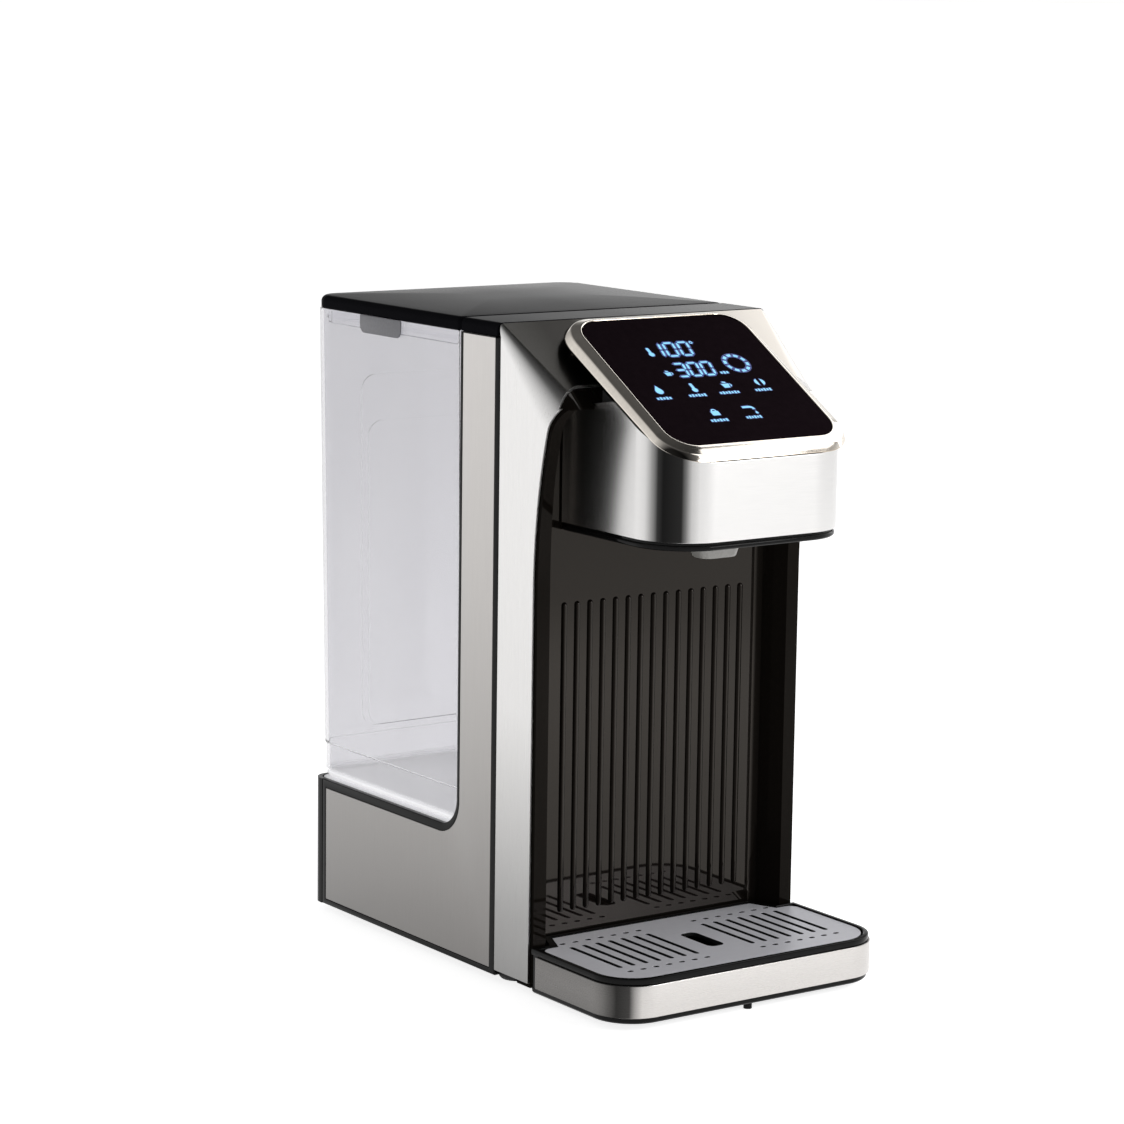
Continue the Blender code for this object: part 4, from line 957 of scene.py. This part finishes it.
def bezel():
    """Polished frame round the glass: a thin lip and two facets."""
    rings = []
    for out, depth, front, share in BEZEL_STEPS:
        rings.append(tilt_ring(out * MM, depth * MM, front * MM, HEAD_TAPER * share))
    shell("bezel_chrome", rings, CHROME, "body", "chrome", "bezel", closed=True)


def glass_panel():
    """Black touch glass with a fine rounded rim."""
    rings = [tilt_ring(0.0, 1.6 * MM)]
    edge = 0.35 * MM
    for t in (0.0, 0.5, 1.0, 1.57):
        rings.append(tilt_ring(-edge * (1 - math.cos(t)), edge * (1 - math.sin(t))))
    shell("glass_black", rings, GLASS_BLACK, "body", "black_glass", "glass_panel")


def band_outline(box, r, thick):
    """Closed U strip in plan, open at the rear of a box."""
    outline = []
    for inset, step in ((0.0, 1), (thick, -1)):
        half = box.x1 - inset
        side = [(-half, box.y1)] + round_front(half, box.y0 + inset, r - inset, 28) + [(half, box.y1)]
        outline += side[::step]
    return outline


def head_side(rear, depth, low):
    """Side profile of the head under a plane that nears the glass forwards."""
    c = math.cos(math.radians(TILT_DEG))
    slope = math.tan(math.radians(TILT_DEG))
    front = -0.14
    profile = [(front, low), (rear, low)]
    for y in (rear, front):
        under = depth - HEAD_TAPER * (GLASS_TOP_Y - y) / c
        profile.append((y, GLASS_TOP_Z - slope * (GLASS_TOP_Y - y) - under / c))
    return loft("helper", [at_x(profile, -BESIDE), at_x(profile, BESIDE)])


def head_band():
    """Steel band round the head."""
    box = Box("head_band")
    outline = band_outline(box, 27 * MM, 1.0 * MM)
    obj = loft("head_band_steel", [at_z(outline, box.z0), at_z(outline, ABOVE)], STEEL_ROUND)
    keep(obj, head_side(box.y1, 6.5 * MM, box.z0 - 10 * MM))
    cut(obj, above_shoulder(-0.092, 0.0, 10 * MM))
    dressed(obj, 0.25 * MM)
    stand_for(obj, "body", "steel", "head_band")


# Inset and height of the head's base, in millimetres.
PLATE_STEPS = [
    (1.6, 0.0), (0.6, 0.15), (0.15, 0.6), (0.0, 1.2), (0.15, 1.9), (0.6, 2.35), (1.3, 2.5), (1.3, 3.4),
]
# Height, half-width and half-depth of the nozzle, in millimetres.
NOZZLE_STEPS = [(0.0, 9.0, 5.2), (0.25, 9.7, 5.8), (0.8, 10.1, 6.1), (8.6, 12.6, 6.9), (9.8, 12.8, 7.0)]


def head_base():
    """Gloss black plate under the head, with a groove above its rounded bead."""
    box = Box("head_base")
    r = 26.5 * MM
    rings = []
    for inset, rise in PLATE_STEPS:
        i = inset * MM
        radii = (r - i, r - i, 0.5 * MM, 0.5 * MM)
        outline = rounded(box.x0 + i, box.x1 - i, box.y0 + i, box.y1 - 0.3 * i, radii, 28)
        rings.append(at_z(outline, box.z0 + rise * MM))
    obj = loft("head_base_black", rings, BLACK_GLOSS)
    cut(obj, prisms([nozzle_outline(10.8, 5.8, 4.0, 8)], 0.20, 0.24))
    smooth(obj, 30)
    stand_for(obj, "body", "gloss_black", "head_base")


NOZZLE = Box("nozzle")
NOZZLE_Y = (NOZZLE.y0 + NOZZLE.y1) / 2


def nozzle_outline(half, deep, r, steps):
    """Rounded rectangle round the nozzle's middle, in millimetres."""
    y = NOZZLE_Y
    return rounded(-half * MM, half * MM, y - deep * MM, y + deep * MM, r * MM, steps)


def nozzle():
    """Tapered outlet with a round bore."""
    z0 = NOZZLE.z0
    rings = []
    for z, half, deep in NOZZLE_STEPS:
        rings.append(at_z(nozzle_outline(half, deep, 4.2, 10), z0 + z * MM))
    obj = loft("nozzle_grey", rings, GREY_NOZZLE)
    join(obj, prisms([nozzle_outline(10.4, 5.4, 3.8, 8)], z0 + 9 * MM, z0 + 18 * MM))
    cut(obj, prisms([circle(0, NOZZLE_Y, 2.6 * MM)], z0 - 1 * MM, z0 + 19 * MM))
    smooth(obj, 30)
    stand_for(obj, "body", "grey_plastic", "nozzle")


# ---- Display ----

DISPLAY_LIFT = 0.04 * MM
DIGIT_LEAN = 0.18


def light_shapes(name, outlines, mat, lift):
    """Flat lit shapes on the glass; outlines are (across, down) in millimetres."""
    bm = bmesh.new()
    for outline in outlines:
        add_loft(bm, [[tilt(x * MM, s * MM, out) for x, s in outline] for out in (0.01 * MM, lift)])
    stand_for(add_object(name, bm, mat), "body", "white_plastic")


def stroke(x0, s0, x1, s1, width):
    """A bar with pointed ends from one point to another."""
    a = Vector((x0, s0))
    b = Vector((x1, s1))
    along = (b - a).normalized() * width / 2
    side = Vector((-along.y, along.x))
    points = [a - along * 0.2, a + along + side, b - along + side]
    points += [b + along * 0.2, b - along - side, a + along - side]
    return [tuple(p) for p in points]


SEGMENTS = {
    "a": (0, 0, 1, 0), "b": (1, 0, 1, 0.5), "c": (1, 0.5, 1, 1), "d": (0, 1, 1, 1),
    "e": (0, 0.5, 0, 1), "f": (0, 0, 0, 0.5), "g": (0, 0.5, 1, 0.5),
}
DIGITS = {"0": "abcdef", "1": "bc", "3": "abcdg"}


def digit(mark, left, top, wide, tall, width):
    """Strokes of a slanted seven-segment digit."""
    shapes = []
    for key in DIGITS[mark]:
        x0, s0, x1, s1 = SEGMENTS[key]
        a = Vector((left + x0 * wide - s0 * tall * DIGIT_LEAN, top + s0 * tall))
        b = Vector((left + x1 * wide - s1 * tall * DIGIT_LEAN, top + s1 * tall))
        gap = (b - a).normalized() * 0.4 * width
        shapes.append(stroke(*(a + gap), *(b - gap), width))
    return shapes


def number(text, left, top, pitch, wide, tall, width):
    """A row of digits."""
    shapes = []
    for i, mark in enumerate(text):
        shapes += digit(mark, left + i * pitch, top, wide, tall, width)
    return shapes


def dashes(cx, cy, radius, count, share, width):
    """A ring of short curved dashes."""
    shapes = []
    for i in range(count):
        start = 360 * i / count
        end = start + 360 / count * share
        outer = arc(cx, cy, radius + width / 2, start, end, 5)
        inner = arc(cx, cy, radius - width / 2, end, start, 5)
        shapes.append(outer + inner)
    return shapes


def drop_icon(cx, cy, size):
    """A water drop."""
    tip = [(cx, cy - size)]
    return [tip + arc(cx, cy + size * 0.25, size * 0.62, -30, 210, 14)]


def thermometer_icon(cx, cy, size):
    """A stem with a bulb."""
    stem = rounded(cx - 0.25 * size, cx + 0.25 * size, cy - size, cy + 0.3 * size, 0.2 * size, 4)
    return [stem, circle(cx, cy + 0.62 * size, 0.48 * size, 20)]


def cup_icon(cx, cy, size):
    """A cup with a handle and a wavy line over it."""
    body = [(cx - size, cy - 0.35 * size), (cx + 0.7 * size, cy - 0.35 * size)]
    body += [(cx + 0.45 * size, cy + 0.8 * size), (cx - 0.75 * size, cy + 0.8 * size)]
    handle = arc(cx + 0.75 * size, cy + 0.1 * size, 0.42 * size, -80, 80, 8)
    handle += arc(cx + 0.75 * size, cy + 0.1 * size, 0.24 * size, 80, -80, 8)
    steam = stroke(cx - 0.5 * size, cy - 0.9 * size, cx + 0.3 * size, cy - 0.7 * size, 0.3 * size)
    return [body, handle, steam]


def bean_icon(cx, cy, size):
    """Two bean halves."""
    left = arc(cx - 0.1 * size, cy, size * 0.8, 110, 250, 10)
    right = arc(cx + 0.1 * size, cy, size * 0.8, -70, 70, 10)
    return [left, right]


def lock_icon(cx, cy, size):
    """A closed padlock."""
    body = rounded(cx - 0.7 * size, cx + 0.7 * size, cy - 0.1 * size, cy + 0.9 * size, 0.15 * size, 4)
    bow = arc(cx, cy - 0.1 * size, 0.5 * size, 180, 360, 10)
    bow += arc(cx, cy - 0.1 * size, 0.3 * size, 360, 180, 10)
    return [body, bow]


def tap_icon(cx, cy, size):
    """A spout with a drop under it."""
    spout = [(cx - size, cy - 0.7 * size), (cx + 0.3 * size, cy - 0.7 * size)]
    spout += arc(cx + 0.3 * size, cy + 0.1 * size, 0.8 * size, 270, 360, 8)
    spout += [(cx + 0.7 * size, cy + 0.1 * size)]
    spout += arc(cx + 0.3 * size, cy + 0.1 * size, 0.4 * size, 360, 270, 8)
    spout += [(cx - size, cy - 0.3 * size)]
    return [spout] + drop_icon(cx + 0.9 * size, cy + 0.9 * size, 0.35 * size)


def caption_bar(cx, cy, length):
    """A row of short ticks in place of a caption."""
    shapes = []
    count = max(3, int(length / 1.5))
    pitch = length / count
    for i in range(count):
        x = cx - length / 2 + (i + 0.5) * pitch
        tall = 1.0 if i % 2 else 0.75
        shapes.append(rounded(x - 0.32 * pitch, x + 0.32 * pitch, cy - tall, cy + tall * 0.8, 0.12, 2))
    return shapes


# Shape, place across, place down and size, in millimetres on the glass.
SYMBOLS = [
    (thermometer_icon, -18.8, 25.0, 3.0), (cup_icon, -18.6, 41.5, 2.0), (caption_bar, 12.0, 43.6, 5.0),
    (drop_icon, -31.5, 53.0, 3.2), (thermometer_icon, -12.0, 52.8, 3.0), (cup_icon, 7.0, 52.6, 2.5),
    (bean_icon, 26.6, 52.2, 3.0), (caption_bar, -32.1, 59.2, 8.5), (caption_bar, -13.0, 58.7, 10.0),
    (caption_bar, 5.4, 58.3, 11.5), (caption_bar, 25.0, 58.0, 9.5), (lock_icon, -11.8, 71.0, 3.0),
    (tap_icon, 8.0, 71.0, 3.0), (caption_bar, -12.8, 77.4, 10.0), (caption_bar, 7.0, 77.0, 9.0),
]


def display():
    """Temperature, volume, progress ring and touch symbols."""
    big = number("100", -16.2, 19.2, 8.05, 5.5, 9.8, 1.1)
    big += number("300", -12.0, 34.9, 7.5, 5.3, 9.5, 1.1)
    big += dashes(23.0, 37.2, 5.9, 10, 0.6, 1.6)
    small = dashes(7.8, 19.8, 0.8, 1, 0.999, 0.5)
    for shape, x, down, size in SYMBOLS:
        small += shape(x, down, size)
    light_shapes("display_figures", big, LIT, DISPLAY_LIFT)
    light_shapes("display_symbols", small, LIT, DISPLAY_LIFT)
    halo = [offset(shape, 0.70) for shape in big] + [offset(shape, 0.35) for shape in small]
    light_shapes("display_halo", halo, HALO, DISPLAY_LIFT * 0.6)


# ---- Tank and lid ----

TANK = Box("tank_body")
TANK_WALL = 2.2 * MM
TANK_STEP = TANK.z0 + 17.2 * MM
TANK_SPREAD = 2.0 * MM
TANK_REAR_SPREAD = 2.7 * MM
CROWN_STEPS = 9


def tank_levels():
    """Outside levels: z, front y, half-width, rear y."""
    y0 = TANK.y0
    half = TANK.x1 - 2.5 * MM
    rear = TANK.y1 - 3.1 * MM
    levels = []
    r = 12.5 * MM
    rs = 3.2 * MM
    for t in quarter(12):
        lift = r * (1 - math.cos(t))
        side = rs * (1 - math.sqrt(1 - (1 - min(1.0, lift / rs)) ** 2))
        levels.append((TANK.z0 + lift, y0 + r * (1 - math.sin(t)), half - side, rear - side))
    for rise, wider, deeper in ((-0.5, 0.0, 0.0), (0.0, 0.15, 0.1), (0.4, 0.5, 0.4)):
        levels.append((TANK_STEP + rise * MM, y0, half + wider * MM, rear + deeper * MM))
    low, _, half, rear = levels[-1]
    for i in range(1, 9):
        t = i / 8
        levels.append((low + (TANK.z1 - low) * t, y0, half + TANK_SPREAD * t, rear + TANK_REAR_SPREAD * t))
    return levels


def tank_ring(level, inset, drop=0.0):
    """One level of the tank, drawn in by inset and lowered by drop."""
    z, front, half, rear = level
    rf = max(3.5 * MM - inset, 0.8 * MM)
    rr = 12 * MM - inset
    outline = rounded(-half + inset, half - inset, front + inset, rear - inset, (rf, rf, rr, rr), 14)
    return at_z(outline, z - drop)


def tank_body():
    """Clear open-topped tank with two recesses in its rear wall and a floor hole."""
    levels = tank_levels()
    rings = [tank_ring(level, 0.0) for level in levels[:-1]]
    for drop, inset in ((0.4, 0.0), (0.1, 0.15), (0.0, 0.5), (0.0, 1.8), (0.3, 2.2)):
        rings.append(tank_ring(levels[-1], inset * MM, drop * MM))
    floor = TANK.z0 + TANK_WALL
    for level in reversed(levels[:-1]):
        if level[0] > floor + 0.3 * MM:
            rings.append(tank_ring(level, TANK_WALL))
    _, front, half, rear = levels[4]
    inner = (floor, front + 0.6 * MM, half - 0.6 * MM, rear - 0.6 * MM)
    rings.append(tank_ring(inner, TANK_WALL + 0.4 * MM))
    obj = loft("tank_clear", rings, CLEAR)
    cut(obj, rear_panel(47.0, 267.7, 0.9))
    cut(obj, rear_panel(43.5, 244.5, 1.6))
    valve = Box("valve_housing")
    hole = circle(0.0, (valve.y0 + valve.y1) / 2, 9.4 * MM, 48)
    cut(obj, prisms([hole], TANK.z0 - 10 * MM, TANK.z0 + 10 * MM))
    smooth(obj, 25)
    stand_for(obj, "tank", "clear_tank", "tank_body")


def rear_panel(half, top, depth):
    """A shallow recess in the tank's rear wall, with rounded corners; in millimetres."""
    outline = rounded(-half * MM, half * MM, 90 * MM, top * MM, 8 * MM, 10)
    taper = TANK_REAR_SPREAD / (TANK.z1 - 86.4 * MM)
    inner = [(x, TANK.y1 - (TANK.z1 - z) * taper - depth * MM, z) for x, z in outline]
    outer = [(x, TANK.y1 + 8 * MM, z) for x, z in outline]
    return loft("helper", [inner, outer])


def lid_ring(z, inset):
    """One level of the lid."""
    box = Box("tank_lid")
    rr = max(12 * MM - inset * 0.8, 3 * MM)
    rf = max(2.5 * MM - inset * 0.4, 1 * MM)
    outline = rounded(box.x0 + inset, box.x1 - inset, box.y0 + inset, box.y1 - inset, (rf, rf, rr, rr), 14)
    return at_z(outline, z)


def tank_lid():
    """Slightly crowned lid with a rounded edge, and a clear skirt inside the tank."""
    low, high = COVER.z0, COVER.z1
    rings = [lid_ring(low + 2.2 * MM, 6.2 * MM), lid_ring(low, 6.0 * MM)]
    rings += [lid_ring(low, 0.3 * MM), lid_ring(low + 0.3 * MM, 0.0)]
    r = 3.0 * MM
    for t in quarter(8):
        rings.append(lid_ring(high - r + r * math.sin(t), r * (1 - math.cos(t))))
    z0, z1 = Box("tank_lid").z0, Box("tank_lid").z1
    for i in range(CROWN_STEPS):
        t = (i + 1) / CROWN_STEPS
        rings.append(lid_ring(high + (z1 - high) * math.sin(t * math.pi / 2), r + 52 * MM * t))
    shell("tank_lid_black", rings, BLACK_LID, "lid", "gloss_black", "tank_lid")
    steps = [(low - 0.02 * MM, 4.2), (low - 0.02 * MM, 5.9), (z0 + 0.3 * MM, 5.9)]
    steps += [(z0, 5.5), (z0, 4.6), (z0 + 0.3 * MM, 4.2)]
    rings = [lid_ring(z, inset * MM) for z, inset in steps]
    shell("tank_lid_skirt", rings, CLEAR_SOFT, "lid", "gloss_black", "tank_lid", closed=True)


def lid_tabs():
    """Grey finger tabs at the lid's sides."""
    for where in ("left", "right"):
        box = Box("lid_tab_" + where)
        outline = rounded(box.y0, box.y1, box.z0, box.z1, (4 * MM, 4 * MM, 0.6 * MM, 0.6 * MM), 10)
        obj = soft_prism("lid_tab_grey_" + where, outline, box.x0, box.x1, 0.25 * MM, GREY_TAB, at_x)
        stand_for(obj, "lid", "grey_plastic", "lid_tab_" + where)


# ---- Tray ----

BAND = Box("tray_band")
BAND_R = 21 * MM
# Height and inset of the tray's outside, its rim (from the top) and its inside, in millimetres.
TRAY_LEVELS = [
    (3.5, 2.2), (3.8, 1.4), (4.5, 0.8), (6.2, 0.6), (6.3, 1.0), (21.9, 1.0), (21.95, 0.5), (22.6, 0.3),
]
TRAY_RIM = [(-0.8, 0.3), (-0.25, 0.5), (0.0, 1.0), (0.0, 2.3), (-0.3, 2.8), (-0.9, 2.9)]
TRAY_INSIDE = [(22.0, 2.9), (22.0, 5.6), (5.9, 5.6), (5.5, 6.2)]
PEGS = [(0.0, -126.5), (-56.0, -102.0), (56.0, -102.0), (-52.0, -58.0), (52.0, -58.0)]


def tray_outline(inset):
    """Tray plan: wide in front, narrower inside the bay."""
    half = BAND.x1 - GAP - inset
    front = BAND.y0 + GAP + inset
    r = BAND_R - inset
    step = -63.1 * MM - inset
    right = [(half, step), (67.2 * MM - inset, step), (61.2 * MM - inset, -49.7 * MM - inset)]
    return round_front(half, front, r, 18) + mirrored(right)


def tray_body():
    """Gloss black tray with a bead above and below its steel band."""
    top = Box("drip_tray_body").z1
    levels = [(z * MM, inset) for z, inset in TRAY_LEVELS]
    levels += [(top + z * MM, inset) for z, inset in TRAY_RIM]
    levels += [(z * MM, inset) for z, inset in TRAY_INSIDE]
    obj = loft("tray_black", [at_z(tray_outline(inset * MM), z) for z, inset in levels], BLACK_GLOSS)
    join(obj, prisms([circle(x * MM, y * MM, 2.0 * MM, 24) for x, y in PEGS], 0.0, 4.5 * MM))
    smooth(obj, 28)
    stand_for(obj, "tray", "gloss_black", "drip_tray_body")


def tray_band():
    """Steel strip round the tray."""
    outline = band_outline(BAND, BAND_R, 1.0 * MM)
    obj = soft_prism("tray_band_steel", outline, BAND.z0, BAND.z1, 0.3 * MM, STEEL_TRAY)
    stand_for(obj, "tray", "steel", "tray_band")


def slot(x, y0, y1, half, r, steps):
    """A rounded slot across the grate, in millimetres."""
    return rounded((x - half) * MM, (x + half) * MM, y0 * MM, y1 * MM, r * MM, steps)


def tray_grate():
    """Satin steel grate with slots, small ovals and a finger hole."""
    box = Box("tray_grate")
    outline = round_front(box.x1, box.y0, 17.8 * MM, 18)
    right = arc(box.x1 - 5 * MM, -71.4 * MM, 5 * MM, 0, 90, 10)
    outline += mirrored(right + [(64.0 * MM, -66.4 * MM), (58.0 * MM, box.y1)])
    obj = loft("grate_steel", [at_z(outline, box.z0), at_z(outline, box.z1)], STEEL_GRATE)
    holes = []
    for i in range(7):
        for sign in (-1, 1):
            x = sign * (16.2 + i * 7.25)
            holes.append(slot(x, -109.7, -69.8, 1.15, 1.1, 4))
            holes += [slot(x, y - 1, y + 1, 1.5, 0.98, 4) for y in (-63.5, -116.5)]
    holes.append(slot(0.0, -103.9, -78.9, 4.4, 3.2, 8))
    cut(obj, prisms(holes, 0.015, 0.030))
    dressed(obj, 0.22 * MM)
    stand_for(obj, "grate", "bright_steel", "tray_grate")


# ---- Finishes of the CAD pieces that stay ----

CAD_FINISH = [
    (BLACK_MATTE, "base_pan power_gland partition_wall head_core heater_cap_lower heater_cap_upper"),
    (BLACK_MATTE, "thermal_cutoff"),
    (WHITE_PLASTIC, "tank_socket display_module pump_cover pump_housing pump_impeller"),
    (WHITE_PLASTIC, "valve_plunger strainer"),
    (STEEL_BRIGHT, "pump_motor heater_tube heater_clamp valve_spring"),
    (RUBBER, "pump_cradle valve_seal"), (SILICONE, "hose_feed hose_riser hose_outlet"),
    (BOARD, "display_board control_board"), (SHELF, "tank_shelf"),
    (GREY_TAB, "valve_housing"), (CLEAR_SOFT, "lid_gasket"),
]


def finish_cad():
    """Gives each CAD piece that stays its own finish."""
    finish = {name: mat for mat, names in CAD_FINISH for name in names.split()}
    for name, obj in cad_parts.items():
        if name.startswith("foot_"):
            finish[name] = STEEL_BRIGHT if "screw" in name else RUBBER
        if name in finish:
            obj.data.materials.clear()
            obj.data.materials.append(finish[name])


make_camera()
make_world()
make_lights()
make_floor()
finish_cad()
front_frame()
bay_liner()
side_walls()
top_cover()
rear_cover()
bezel()
glass_panel()
head_band()
head_base()
nozzle()
display()
tank_body()
tank_lid()
lid_tabs()
tray_body()
tray_band()
tray_grate()
